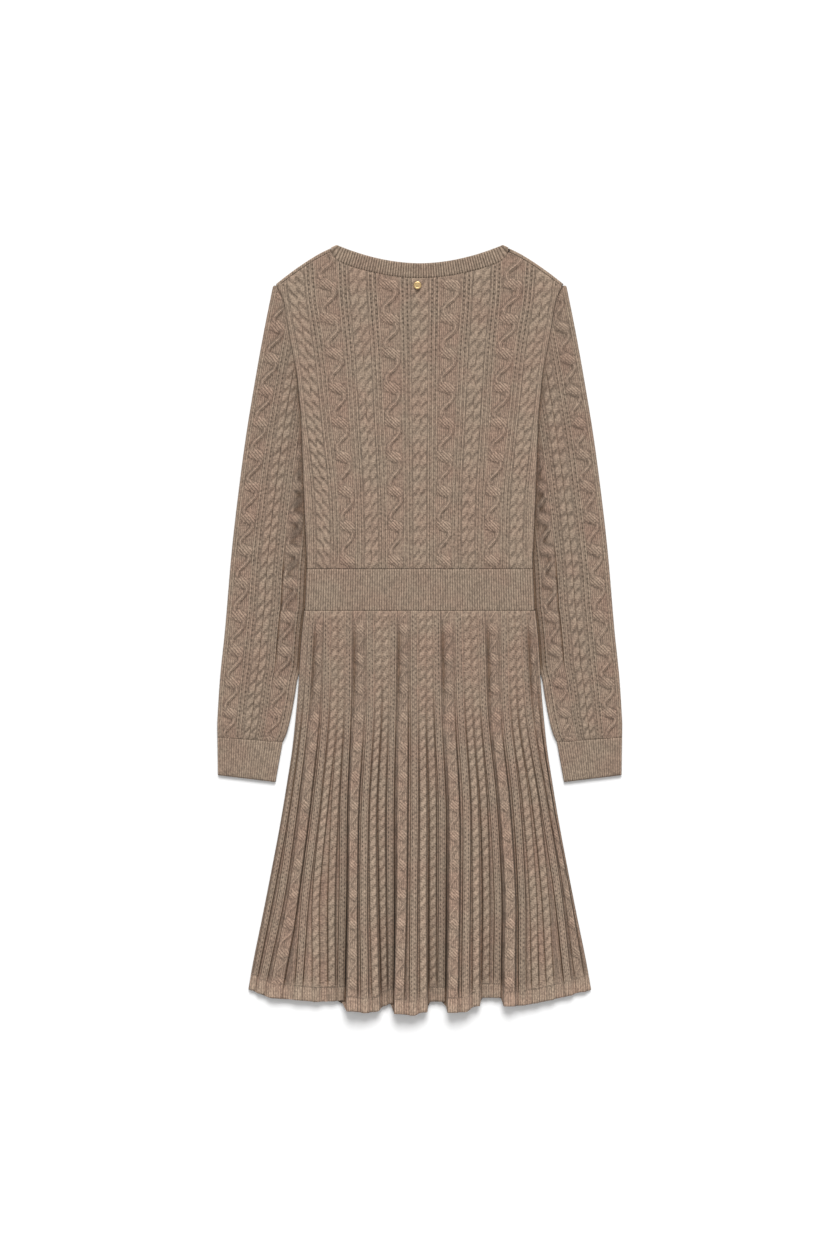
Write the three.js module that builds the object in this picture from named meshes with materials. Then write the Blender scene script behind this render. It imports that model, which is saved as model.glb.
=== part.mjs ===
// A knitted sweater dress laid flat on its front, with its back up. Millimetres: X to the right,
// Y towards the neck, Z up from the surface that the dress lies on.
import * as THREE from 'three';

// Cloth
const WALL = 1.7;
const LAYER_GAP = 0.6;
const SEAM_GAP = 0.4;
const UPPER = WALL + LAYER_GAP; // underside of the upper layer
const FACE = UPPER + WALL; // plain face of the upper layer
const FOLD_RADIUS = FACE / 2;

// Raised knit, over the plain face
const WAVE_HEIGHT = 1.8;
const ROPE_HEIGHT = 1.7;
const ROPE_DIP = 0.8;
const LADDER_HEIGHT = 0.6;
const RIB_HEIGHT = 0.45;
const RIB_PITCH = 2.8;
const FOOT_HEIGHT = 0.1; // where a cable meets the plain face
const ROPE_VALLEY = 0.25; // between the two ropes of a pair
const SEAM_SHARE = 0.3; // how much of the raised knit is left where a seam presses it

// Plain lines and side edges of the panels
const PLAIN_PITCH = 64; // from row to row of a line that doesn't swing
const TURN_INSET = 2; // from where a face starts to turn down to its edge
const TURN_DROP = 0.8;
const UNDER_INSET = 0.6; // the underside ends short of the edge
const UNDER_DROP = 0.2;

// Lengths down the dress, as Y
const WAIST_TOP = 70.2;
const WAIST_BOTTOM = 21.5;
const WAIST_HALF_TOP = 131;
const WAIST_HALF_BOTTOM = 133;

// Neckline
const NECK_HALF = 95.7;
const NECK_BOTTOM = 424.4;
const NECK_RISE = 21;
const FRONT_NECK_DROP = 34;
const BAND_BEND = 85; // X from where the neckband turns over the shoulder
const BACK_EASE = 0.09; // room that the panels leave there, for each mm beyond it
const FRONT_EASE = 0.15;
const TURN_PLACE = 0.02; // share of the ring that is kept for each turn over the shoulder

// Neckband: share of the way from the centre to the shoulder, width, lean in degrees
const BACK_BAND = [
  [0, 17.4, 0],
  [0.5, 17.4, 12],
  [0.9, 17.2, 22],
  [0.97, 13.5, 36],
  [1, 7.6, 65],
];
const FRONT_BAND = [
  [0, 17.4, 0],
  [0.5, 17.4, 30],
  [0.9, 15, 52],
  [1, 7.6, 65],
];

// Shoulder line: X, Y
const SHOULDER = [
  [95.7, 445.4],
  [117.5, 434.8],
  [139.5, 420.8],
  [159.2, 406.2],
  [171, 396.6],
];
const SHOULDER_LIP = 4.5; // strip of the front that turns over the shoulder
const LIP_ROUND = 0.5; // its rounded end
const SHOULDER_TIP = 168.2;
const FRONT_INSET = 1; // the front panels are this much narrower than the back ones

// Armhole and side of the bodice: Y, half width
const BODICE_EDGE = [
  [70, 131],
  [90, 131.5],
  [143, 134],
  [197, 136],
  [250, 138.1],
  [268, 140.1],
  [288, 141.8],
  [312, 145.6],
  [330, 149.2],
  [352, 153],
  [373, 156],
  [388, 160.6],
  [402, 168.5],
];

// Side of the skirt: Y, half width
const SKIRT_EDGE = [
  [-417, 198.7],
  [-382, 192.4],
  [-330, 181.8],
  [-278, 171.6],
  [-226, 161.8],
  [-173, 153],
  [-139, 147.8],
  [-104, 144],
  [-69, 140.9],
  [-11, 137.2],
  [21.5, 133.9],
];

// Outer side of the sleeve: Y, X
const SLEEVE_OUTER = [
  [-125, 234.6],
  [-104, 234.5],
  [-52, 231.1],
  [1, 225.6],
  [88, 218.2],
  [157, 210.4],
  [227, 201],
  [296, 189.6],
  [349, 180],
  [397, 170.4],
];
const SLEEVE_TOP = 395.5;

// Free inner side of the sleeve under the bodice: Y, X
const SLEEVE_INNER = [
  [-130.5, 158.9],
  [-121, 154.4],
  [-104, 149.9],
  [-86, 146.4],
  [-69, 143.6],
  [-45, 140.3],
];

// Cuff: corners of its seam and of its end
const CUFF = {
  outer: [234.6, -125],
  inner: [158.9, -130.5],
  endOuter: [234, -168.8],
  endInner: [167.2, -176.9],
};

// Repeat of the cable pattern on the bodice: Y, width of one repeat
const REPEAT = [
  [70, 56],
  [105, 55.8],
  [163, 57],
  [244, 61.5],
  [325, 66],
  [385, 71],
  [440, 73],
];

// Parts of one half repeat, as shares of its width from the middle of the rope pair
const ROPE_AT = 0.072;
const ROPE_FOOT = 0.145;

// Ladder beside a rope pair: share of the repeat, share of the ladder's height
const LADDER = [
  [0.165, 0.8],
  [0.195, 0],
  [0.24, 1],
  [0.285, 0],
  [0.325, 0.8],
];

// Wave cable half way between two rope pairs, as shares of the repeat
const WAVE_GROUND = 0.158;
const WAVE_SWING = 0.09;
const WAVE_HALF = 0.052;
const BODICE_WAVE = 40; // length of one wave
const BODICE_ROPE = 14.4; // length of one rope crossing
const ROPE_LEAN = 0.022;

// Sleeve: widths counted from its outer side
const SLEEVE_WAVE = 36;
const SLEEVE_ROPE = 13.8;
const SLEEVE_REPEAT = 55.5;
const SLEEVE_ROPE_AT = 42.6;
const SLEEVE_GAP = 0.64; // between the sleeve and the body
const COLUMN_ROOM = 0.25; // that lines pressed against the body keep from each other

// Skirt
const SKIRT_WAVE = 34;
const SKIRT_ROPE = 13.6;
const SKIRT_ROPE_LEAN = 1.1;
const SKIRT_ROPE_HEIGHT = 0.9;
const SKIRT_WAVE_HEIGHT = 1;
const RIB_RISE_TOP = 0.9; // height of the cable ribs at the waist
const RIB_RISE_LOW = 2.4; // and from here on down:
const RIB_RISE_LENGTH = 330;
const FRONT_HEM_BOW = 9;
const FRONT_HEM_INSET = 3;
const HEM_BAND = 16;
const LIFT_START = -60;
const LIFT_CURVE = 1.35;
const STATIONS = [6, -97, -201, -306, -387];
const RIB_HALF = { ladder: 4.4, rope: 4.2, wave: 7.8 };

// Ribs of the skirt from left to right: kind, X at each of the stations, lift of the hem, Y of the hem
const SKIRT_RIBS = [
  ['ladder', -131, -139, -154, -173, -189, 0.5, -418],
  ['ladder', -126, -133, -145, -160, -177, 2, -422],
  ['wave', -117, -121, -132, -146, -161, 4, -427],
  ['ladder', -107, -109, -119, -132, -138, 5, -429],
  ['rope', -99, -100, -110, -120, -120, 5, -431],
  ['rope', -91, -91, -98, -102, -102, 3, -430.5],
  ['ladder', -83, -84, -88, -89, -90.5, 1.5, -430],
  ['wave', -70, -70, -76, -77, -78, 13, -441],
  ['ladder', -57, -57, -63, -65, -64, 12, -443],
  ['rope', -48, -48, -54, -54, -52, 9, -442],
  ['rope', -39.5, -40, -44, -43, -41, 2, -435.5],
  ['ladder', -31, -32, -34, -34, -34, 1, -433.5],
  ['wave', -18.5, -19, -20, -21, -24, 13, -444],
  ['ladder', -6, -6, -6, -7, -7.5, 12, -446],
  ['rope', 2.5, 3, 4, 3.5, 4, 10, -442.5],
  ['rope', 11, 12, 15, 15, 15, 1, -431],
  ['ladder', 19.5, 21, 26, 26, 25.5, 1.5, -431],
  ['wave', 32, 35, 39.5, 40, 38.5, 13, -442.5],
  ['ladder', 45.5, 48, 54, 54, 53, 11, -442],
  ['rope', 54.5, 57, 63.5, 65, 65, 8, -435.5],
  ['rope', 62.5, 66, 74, 77, 76.5, 2, -426.5],
  ['ladder', 71, 75, 85, 90.5, 90, 2.5, -426.5],
  ['wave', 85, 88, 98, 105, 104, 10, -435.5],
  ['ladder', 98.5, 101, 112, 118, 118.5, 6, -435],
  ['rope', 106.5, 110, 123, 131, 133, 6, -432.5],
  ['rope', 113.5, 118, 134, 145, 149.5, 5, -429],
  ['ladder', 121, 127, 144, 160, 169, 3, -424],
  ['wave', 129, 136, 152, 172, 184, 1, -420],
];
const HEM_CORNER = -417;
const SKIRT_STEPS = 7; // rows of the plain lines from the waist to the hem band

const STUD = { x: -2.6, y: 398.5, radius: 4.6, height: 1.7, gap: 0.3 };

// Colours
const KNIT = new THREE.MeshStandardMaterial({ color: 0x9c8773, roughness: 0.95, metalness: 0 });
const RIBBED = new THREE.MeshStandardMaterial({ color: 0x98826f, roughness: 0.95, metalness: 0 });
const METAL = new THREE.MeshStandardMaterial({ color: 0xc9a25e, roughness: 0.3, metalness: 1 });

// Reads a column of a table between its rows on a smooth curve, and straight on beyond its ends
function at(table, key, column = 1) {
  const last = table.length - 1;
  const slope = (row) => {
    const before = table[Math.max(row - 1, 0)];
    const after = table[Math.min(row + 1, last)];
    return (after[column] - before[column]) / (after[0] - before[0]);
  };
  if (key <= table[0][0]) return table[0][column] + slope(0) * (key - table[0][0]);
  if (key >= table[last][0]) return table[last][column] + slope(last) * (key - table[last][0]);
  let row = 0;
  while (key > table[row + 1][0]) row += 1;
  const step = table[row + 1][0] - table[row][0];
  const t = (key - table[row][0]) / step;
  const [start, end] = [table[row][column], table[row + 1][column]];
  const ease = t * t * (3 - 2 * t);
  const leave = t * (1 - t) * (1 - t) * step;
  const arrive = t * t * (t - 1) * step;
  return start + (end - start) * ease + slope(row) * leave + slope(row + 1) * arrive;
}

const lerp = THREE.MathUtils.lerp;
const clamp = THREE.MathUtils.clamp;

// Evenly spaced values from start to end, both kept
function spread(start, end, count) {
  return Array.from({ length: count + 1 }, (_, i) => lerp(start, end, i / count));
}

// Values from top down to bottom on a fixed pitch, so that neighbouring lines share their rows
function rows(top, bottom, pitch) {
  const inner = [];
  for (let k = Math.ceil(-top / pitch); -k * pitch > bottom; k += 1) inner.push(-k * pitch);
  const room = pitch * 0.35;
  return [top, ...inner.filter((y) => top - y > room && y - bottom > room), bottom];
}

// Closed cloth, made of lines of points that run from the neck towards the hem
class Cloth {
  constructor() {
    this.points = [];
    this.triangles = [];
  }

  // A line is { place, points }, with place its share of the way across or round the piece
  add(line) {
    const ends = line.points.map((point) => {
      this.points.push(...point);
      return { index: this.points.length / 3 - 1, share: -point[1] };
    });
    return { place: line.place, ends };
  }

  // Fills the strip between two chains of points, the left one and the right one
  zip(left, right) {
    let i = 0;
    let j = 0;
    while (i < left.length - 1 || j < right.length - 1) {
      const nextLeft = i < left.length - 1 ? left[i + 1].share : Infinity;
      const nextRight = j < right.length - 1 ? right[j + 1].share : Infinity;
      if (nextLeft < nextRight) {
        this.triangles.push(left[i].index, left[i + 1].index, right[j].index);
        i += 1;
      } else {
        this.triangles.push(left[i].index, right[j + 1].index, right[j].index);
        j += 1;
      }
    }
  }

  // Joins neighbouring lines into a surface that faces up, or down where it is turned
  surface(lines, turned) {
    for (let i = 0; i < lines.length - 1; i += 1) {
      const [left, right] = turned ? [lines[i + 1], lines[i]] : [lines[i], lines[i + 1]];
      this.zip(left.ends, right.ends);
    }
  }

  // The first or the last points of some lines, as a chain across the piece
  chain(lines, pick) {
    return lines.map((line) => ({ index: line.ends.at(pick).index, share: line.place }));
  }

  // A flat panel: lines of its upper face and of its underside, both from left to right
  static panel(upper, lower) {
    const cloth = new Cloth();
    const [top, bottom] = [upper, lower].map((lines) => lines.map((line) => cloth.add(line)));
    cloth.surface(top, false);
    cloth.surface(bottom, true);
    cloth.zip(bottom[0].ends, top[0].ends);
    cloth.zip(top.at(-1).ends, bottom.at(-1).ends);
    cloth.zip(cloth.chain(top, 0), cloth.chain(bottom, 0));
    cloth.zip(cloth.chain(bottom, -1), cloth.chain(top, -1));
    return cloth;
  }

  // A flattened tube: lines round its outside and its inside, over the top and back underneath
  static tube(outside, inside) {
    const cloth = new Cloth();
    const close = (lines) => [...lines, { ...lines[0], place: lines[0].place + 1 }];
    const [outer, inner] = [outside, inside].map((lines) => close(lines.map((line) => cloth.add(line))));
    cloth.surface(outer, false);
    cloth.surface(inner, true);
    cloth.zip(cloth.chain(outer, 0), cloth.chain(inner, 0));
    cloth.zip(cloth.chain(inner, -1), cloth.chain(outer, -1));
    return cloth;
  }

  // The same cloth on the other side of the dress
  mirrored() {
    const copy = new Cloth();
    copy.points = this.points.map((value, i) => (i % 3 === 0 ? -value : value));
    for (let i = 0; i < this.triangles.length; i += 3) {
      copy.triangles.push(this.triangles[i], this.triangles[i + 2], this.triangles[i + 1]);
    }
    return copy;
  }

  mesh(name, material) {
    const geometry = new THREE.BufferGeometry();
    geometry.setAttribute('position', new THREE.Float32BufferAttribute(this.points, 3));
    geometry.setIndex(this.triangles);
    geometry.computeVertexNormals();
    const mesh = new THREE.Mesh(geometry, material);
    mesh.name = name;
    return mesh;
  }
}

// Raised knit. Each maker gives lines across one motif: offset from its middle, and height, at each Y
const wave = (y, length) => Math.sin((2 * Math.PI * y) / length);

// A strand that swings from side to side: its left foot, its crown and its right foot
function waveStrand(length, swing, half, height, steps) {
  return [-1, 0, 1].map((side) => ({
    offset: (y) => swing(y) * wave(y, length) + side * half(y),
    height: () => (side === 0 ? height : FOOT_HEIGHT),
    pitch: length / steps,
  }));
}

// The crown of a rope: high lobes and low crossings in turn, leaning to the right as it climbs
function ropeCrown(length, lean, height, dip) {
  const lobe = (y) => Math.cos((2 * Math.PI * y) / length);
  return {
    offset: (y) => lean(y) * lobe(y),
    height: (y) => (lobe(y) > 0 ? height : dip),
    pitch: length / 2,
  };
}

// Y of the neckline at an X, lower in the middle by the drop
const neckEdge = (x, drop) => {
  const share = Math.abs(x) / NECK_HALF;
  return NECK_BOTTOM - drop + NECK_RISE * share ** 1.9 + drop * share ** 2;
};

// Upper and lower edge of the neckband at a share from -1, left, to 1, right
function bandEdges(share, table, drop) {
  const width = at(table, Math.abs(share), 1);
  const lean = THREE.MathUtils.degToRad(at(table, Math.abs(share), 2)) * Math.sign(share);
  const x = NECK_HALF * share;
  const y = neckEdge(x, drop);
  const down = [Math.sin(lean), -Math.cos(lean)];
  return { top: [x, y], low: [x + width * down[0], y + width * down[1]], down };
}

// Y of the neckband's lower edge above an X
function bandLow(x, table, drop) {
  const edge = spread(0, 1, 60).map((share) => bandEdges(share, table, drop).low);
  const reach = Math.min(Math.abs(x), edge.at(-1)[0]);
  const next = Math.max(1, edge.findIndex((point) => point[0] >= reach));
  const [before, after] = [edge[next - 1], edge[next]];
  return lerp(before[1], after[1], (reach - before[0]) / (after[0] - before[0]));
}

function neckband() {
  const line = (place, edges, out, depth) => ({
    place,
    points: ['top', 'low'].map((end) => [
      edges[end][0] + out[0] * depth,
      edges[end][1] + out[1] * depth,
      out[2] * depth + out[3],
    ]),
  });
  const midUpper = UPPER + WALL / 2;
  const midLower = WALL / 2;
  const ribs = Math.round((2 * NECK_HALF) / RIB_PITCH);

  // Lines at one depth from the middle of the wall: over the back, round the shoulder, under the front
  const ring = (depth, ribHeight, backCount, frontCount) => {
    const back = spread(-1, 1, backCount).map((share, i) => {
      const rib = i % 2 === 1 ? ribHeight : 0;
      const edges = bandEdges(share, BACK_BAND, 0);
      const place = lerp(TURN_PLACE, 0.5 - TURN_PLACE, (share + 1) / 2);
      return line(place, edges, [0, 0, 1, midUpper], depth + rib);
    });
    const front = spread(1, -1, frontCount).map((share) => {
      const edges = bandEdges(share, FRONT_BAND, FRONT_NECK_DROP);
      const place = lerp(0.5 + TURN_PLACE, 1 - TURN_PLACE, (1 - share) / 2);
      return line(place, edges, [0, 0, -1, midLower], depth);
    });
    const turn = (side, place) => {
      const edges = bandEdges(side, BACK_BAND, 0);
      const out = [-edges.down[1] * side, edges.down[0] * side];
      const reach = (midUpper - midLower) / 2;
      const push = (point) => [point[0] + out[0] * reach, point[1] + out[1] * reach];
      const moved = { top: push(edges.top), low: push(edges.low) };
      return line(place, moved, [out[0], out[1], 0, (midUpper + midLower) / 2], depth);
    };
    return [...back, turn(1, 0.5), ...front, turn(-1, 1)];
  };
  return Cloth.tube(
    ring(WALL / 2, RIB_HEIGHT, 2 * ribs, 16),
    ring(-WALL / 2, 0, 24, 16),
  ).mesh('neckband', RIBBED);
}

// Side fold of a flat tube: height, shift along the ring that keeps the lines in order, inset
const SIDE_FOLD = [
  [FOLD_RADIUS * 1.6, -0.002, 0.35],
  [FOLD_RADIUS, 0, 0],
  [FOLD_RADIUS * 0.4, 0.002, 0.35],
];

// Flat straight tube between two cross lines, each from its left end to its right end
function ribbedTube(start, end, ribs) {
  const length = Math.hypot(start[1][0] - start[0][0], start[1][1] - start[0][1]);
  const point = (share, z, inset) => [start, end].map(([left, right]) => {
    const move = (inset / length) * (share < 0.5 ? 1 : -1);
    return [
      lerp(left[0], right[0], share + move),
      lerp(left[1], right[1], share + move),
      z,
    ];
  });
  const margin = (FOLD_RADIUS * 0.9) / length;
  const over = spread(margin, 1 - margin, 2 * ribs).map((share, i) => ({
    place: share / 2,
    points: point(share, FACE + (i % 2 === 1 ? RIB_HEIGHT : 0), 0),
  }));
  const under = spread(1 - margin, margin, 6).map((share) => ({
    place: 1 - share / 2,
    points: point(share, 0, 0),
  }));
  const side = (share, place) => SIDE_FOLD.map(([z, shift, inset]) => ({
    place: place + (share > 0.5 ? shift : -shift),
    points: point(share, z, inset),
  }));
  const outside = [...over, ...side(1, 0.5), ...under, ...side(0, 1).reverse()];
  const slit = (FOLD_RADIUS * 1.5) / length;
  const inOver = spread(slit, 1 - slit, Math.max(4, Math.round(length / 11)));
  const inUnder = [...inOver].reverse();
  const inside = [
    ...inOver.map((share) => ({ place: share / 2, points: point(share, UPPER, 0) })),
    ...inUnder.map((share) => ({ place: 1 - share / 2, points: point(share, WALL, 0) })),
  ];
  return Cloth.tube(outside, inside);
}

function waistband() {
  const [top, bottom] = [WAIST_TOP - SEAM_GAP / 2, WAIST_BOTTOM + SEAM_GAP / 2];
  const ribs = Math.round((2 * WAIST_HALF_TOP) / RIB_PITCH);
  return ribbedTube(
    [[-WAIST_HALF_TOP, top], [WAIST_HALF_TOP, top]],
    [[-WAIST_HALF_BOTTOM, bottom], [WAIST_HALF_BOTTOM, bottom]],
    ribs,
  ).mesh('waistband', RIBBED);
}

// The left cuff
function cuff() {
  const mirror = ([x, y]) => [-x, y];
  const drop = ([x, y]) => [x, y - SEAM_GAP];
  const length = CUFF.outer[0] - CUFF.inner[0];
  return ribbedTube(
    [drop(mirror(CUFF.outer)), drop(mirror(CUFF.inner))],
    [mirror(CUFF.endOuter), mirror(CUFF.endInner)],
    Math.round(length / RIB_PITCH),
  );
}

// Bodice
const bodiceEdge = (y) => at(BODICE_EDGE, y);
const repeat = (y) => at(REPEAT, y);

// Y where the back ends above an X: at the neckband or at the shoulder seam
function backTop(x) {
  const bandEnd = bandEdges(1, BACK_BAND, 0).low[0];
  const ease = Math.max(0, Math.abs(x) - BAND_BEND) * BACK_EASE;
  if (Math.abs(x) < bandEnd + SEAM_GAP) return bandLow(x, BACK_BAND, 0) - SEAM_GAP - ease;
  return at(SHOULDER, Math.abs(x)) - SHOULDER_LIP - 2 * SEAM_GAP;
}

// Y where a column meets the top of the panel, found by halving
function columnTop(column, topAt) {
  let [low, high] = [WAIST_TOP + 100, NECK_BOTTOM + NECK_RISE];
  for (let i = 0; i < 30; i += 1) {
    const middle = (low + high) / 2;
    if (middle < topAt(column(middle))) low = middle;
    else high = middle;
  }
  return low;
}

// A line down a panel: its rows are its own pitch, and seams press its ends
function columnLine(place, top, bottom, pitch, x, height) {
  const ys = rows(top, bottom, pitch);
  const points = ys.map((y, i) => {
    const end = i === 0 || i === ys.length - 1;
    return [x(y), y, FACE + height(y) * (end ? SEAM_SHARE : 1)];
  });
  return { place, points };
}

// The motifs of the pattern across the bodice, as columns in repeats from the middle
function bodiceColumns() {
  const columns = [];
  const plain = (share, height) => {
    columns.push({ share, offset: () => 0, height: () => height, pitch: PLAIN_PITCH });
  };
  const rope = (share) => {
    const lean = (y) => ROPE_LEAN * repeat(y);
    columns.push({ share, ...ropeCrown(BODICE_ROPE, lean, ROPE_HEIGHT, ROPE_DIP) });
  };
  const ladder = (from, side) => {
    const steps = side > 0 ? LADDER : [...LADDER].reverse();
    steps.forEach(([share, height]) => plain(from + side * share, height * LADDER_HEIGHT));
  };
  const ropePair = (middle) => {
    plain(middle - ROPE_FOOT, FOOT_HEIGHT);
    rope(middle - ROPE_AT);
    plain(middle, ROPE_VALLEY);
    rope(middle + ROPE_AT);
    plain(middle + ROPE_FOOT, FOOT_HEIGHT);
  };
  const waveBand = (middle) => {
    plain(middle - WAVE_GROUND, 0);
    const swing = (y) => WAVE_SWING * repeat(y);
    const half = (y) => WAVE_HALF * repeat(y);
    const strand = waveStrand(BODICE_WAVE, swing, half, WAVE_HEIGHT, 6);
    strand.forEach((line) => columns.push({ share: middle, ...line }));
    plain(middle + WAVE_GROUND, 0);
  };
  for (let k = -2; k <= 2; k += 1) {
    if (k > -2) ladder(k, -1);
    ropePair(k);
    if (k < 2) {
      ladder(k, 1);
      waveBand(k + 0.5);
    }
  }
  return columns;
}

// The two lines of a side edge: where the face starts to turn, and the edge itself
function sideLines(side, edge, top, bottom, pitch, z) {
  const ys = rows(top, bottom, pitch);
  const line = (place, inset, height) => ({
    place: side * place,
    points: ys.map((y) => [side * (edge(y) - inset), y, height]),
  });
  return [line(4, TURN_INSET, z), line(5, 0, z - TURN_DROP)];
}

function bodiceBack() {
  const bottom = WAIST_TOP + SEAM_GAP;
  const upper = bodiceColumns().map((column) => {
    const x = (y) => column.share * repeat(y) + column.offset(y);
    const top = columnTop(x, backTop);
    return columnLine(column.share, top, bottom, column.pitch, x, column.height);
  });
  const tip = columnTop(() => SHOULDER_TIP - SEAM_GAP, backTop);
  const right = sideLines(1, bodiceEdge, tip, bottom, 9, FACE);
  const left = sideLines(-1, bodiceEdge, tip, bottom, 9, FACE).reverse();
  const underside = spread(-2.15, 2.15, 30).map((share) => {
    const x = (y) => share * repeat(y);
    const ys = spread(columnTop(x, backTop), bottom, 4);
    return { place: share, points: ys.map((y) => [x(y), y, UPPER]) };
  });
  const edgeUnder = (side) => ({
    place: side * 5,
    points: rows(tip, bottom, 27).map((y) => (
      [side * (bodiceEdge(y) - UNDER_INSET), y, UPPER - UNDER_DROP]
    )),
  });
  const lower = [edgeUnder(-1), ...underside, edgeUnder(1)];
  return Cloth.panel([...left, ...upper, ...right], lower).mesh('bodice_back', KNIT);
}

// Y where the front ends above an X
function frontTop(x) {
  const bandEnd = bandEdges(1, FRONT_BAND, FRONT_NECK_DROP).low[0];
  const ease = Math.max(0, Math.abs(x) - BAND_BEND) * FRONT_EASE;
  if (Math.abs(x) > bandEnd + SEAM_GAP) return at(SHOULDER, Math.abs(x));
  return bandLow(x, FRONT_BAND, FRONT_NECK_DROP) - 2 * SEAM_GAP - ease;
}

function bodiceFront() {
  const bottom = WAIST_TOP + SEAM_GAP;
  const edge = (y) => Math.min(bodiceEdge(y), SHOULDER_TIP) - FRONT_INSET;
  const lipStart = bandEdges(1, BACK_BAND, 0).low[0] + TURN_INSET;
  const half = [...spread(0, 0.6, 12), lipStart / SHOULDER_TIP, ...spread(0.63, 0.98, 4)];
  const shares = [...half.slice(1).reverse().map((share) => -share), ...half];
  const column = (share, withRows) => {
    const x = (y) => share * edge(y);
    const top = columnTop(x, frontTop);
    const points = withRows(top, Math.abs(x(top)) > lipStart);
    return { place: share, points: points.map(([y, z]) => [x(y), y, z]) };
  };
  const lip = (top) => [
    [top, FACE - LIP_ROUND],
    [top - SHOULDER_LIP + LIP_ROUND, FACE],
    [top - SHOULDER_LIP, WALL],
  ];
  const plainRows = (top, z, count) => spread(top, bottom, count).map((y) => [y, z]);
  const upper = shares.map((share) => column(share, (top, turned) => {
    const start = turned ? lip(top) : [[top, WALL]];
    return [...start, ...plainRows(start.at(-1)[0], WALL, 3).slice(1)];
  }));
  const lower = shares.map((share) => column(share, (top) => plainRows(top, 0, 3)));
  const tip = columnTop(() => SHOULDER_TIP - FRONT_INSET, frontTop);
  const side = (sign, z) => ({
    place: sign,
    points: rows(tip, bottom, 18).map((y) => [sign * edge(y), y, z]),
  });
  return Cloth.panel(
    [side(-1, WALL), ...upper, side(1, WALL)],
    [side(-1, 0), ...lower, side(1, 0)],
  ).mesh('bodice_front', KNIT);
}

// Half width of the body beside the sleeves: bodice, waistband or skirt
const bodyEdge = (y) => {
  if (y > WAIST_TOP) return bodiceEdge(y);
  const share = (y - WAIST_BOTTOM) / (WAIST_TOP - WAIST_BOTTOM);
  return share > 0 ? lerp(WAIST_HALF_BOTTOM, WAIST_HALF_TOP, share) : at(SKIRT_EDGE, y);
};

// Inner side of the sleeve: beside the body, and free below it
const sleeveInner = (y) => {
  const free = y < SLEEVE_INNER.at(-1)[0];
  return free ? at(SLEEVE_INNER, y) : bodyEdge(y) + SLEEVE_GAP;
};
const sleeveOuter = (y) => at(SLEEVE_OUTER, y);
const SLEEVE_WIDTH = sleeveOuter(WAIST_TOP) - sleeveInner(WAIST_TOP);

// X across the left sleeve at a width counted from its outer side
function sleeveX(width, y) {
  const fit = y > WAIST_TOP ? 1 : (sleeveOuter(y) - sleeveInner(y)) / SLEEVE_WIDTH;
  return -(sleeveOuter(y) - width * fit);
}

// Y where a line of the sleeve starts: on the armhole or beside the bodice
function sleeveStart(width) {
  let [low, high] = [WAIST_TOP, SLEEVE_TOP];
  for (let i = 0; i < 30; i += 1) {
    const middle = (low + high) / 2;
    if (sleeveOuter(middle) - width > sleeveInner(middle)) low = middle;
    else high = middle;
  }
  return low;
}

// Y of the cuff's seam at an X
const cuffSeam = (x) => {
  const share = (CUFF.outer[0] - Math.abs(x)) / (CUFF.outer[0] - CUFF.inner[0]);
  return lerp(CUFF.outer[1], CUFF.inner[1], share);
};

// The motifs across the upper face of the left sleeve, as columns by width from its outer side
function sleeveColumns() {
  const swing = () => WAVE_SWING * SLEEVE_REPEAT;
  const half = () => WAVE_HALF * SLEEVE_REPEAT;
  const lean = () => ROPE_LEAN * SLEEVE_REPEAT;
  const columns = [];
  const plain = (width, height) => {
    columns.push({ width, offset: () => 0, height: () => height, pitch: PLAIN_PITCH });
  };
  const strand = (width) => {
    const lines = waveStrand(SLEEVE_WAVE, swing, half, WAVE_HEIGHT, 4);
    lines.forEach((line) => columns.push({ width, ...line }));
  };
  const rope = (width) => {
    columns.push({ width, ...ropeCrown(SLEEVE_ROPE, lean, ROPE_HEIGHT, ROPE_DIP) });
  };
  const part = (share) => SLEEVE_ROPE_AT + share * SLEEVE_REPEAT;
  plain(TURN_INSET, 0);
  plain(part(-0.5 - WAVE_GROUND), 0);
  strand(part(-0.5));
  [...LADDER].reverse().forEach(([share, height]) => plain(part(-share), height * LADDER_HEIGHT));
  plain(part(-ROPE_FOOT), FOOT_HEIGHT);
  rope(part(-ROPE_AT));
  plain(part(0), ROPE_VALLEY);
  rope(part(ROPE_AT));
  plain(part(ROPE_FOOT), FOOT_HEIGHT);
  LADDER.forEach(([share, height]) => plain(part(share), height * LADDER_HEIGHT));
  strand(part(0.5));
  plain(part(0.5 + WAVE_GROUND), 0);
  plain(SLEEVE_WIDTH - 2 * TURN_INSET, 0);
  return columns;
}

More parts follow.
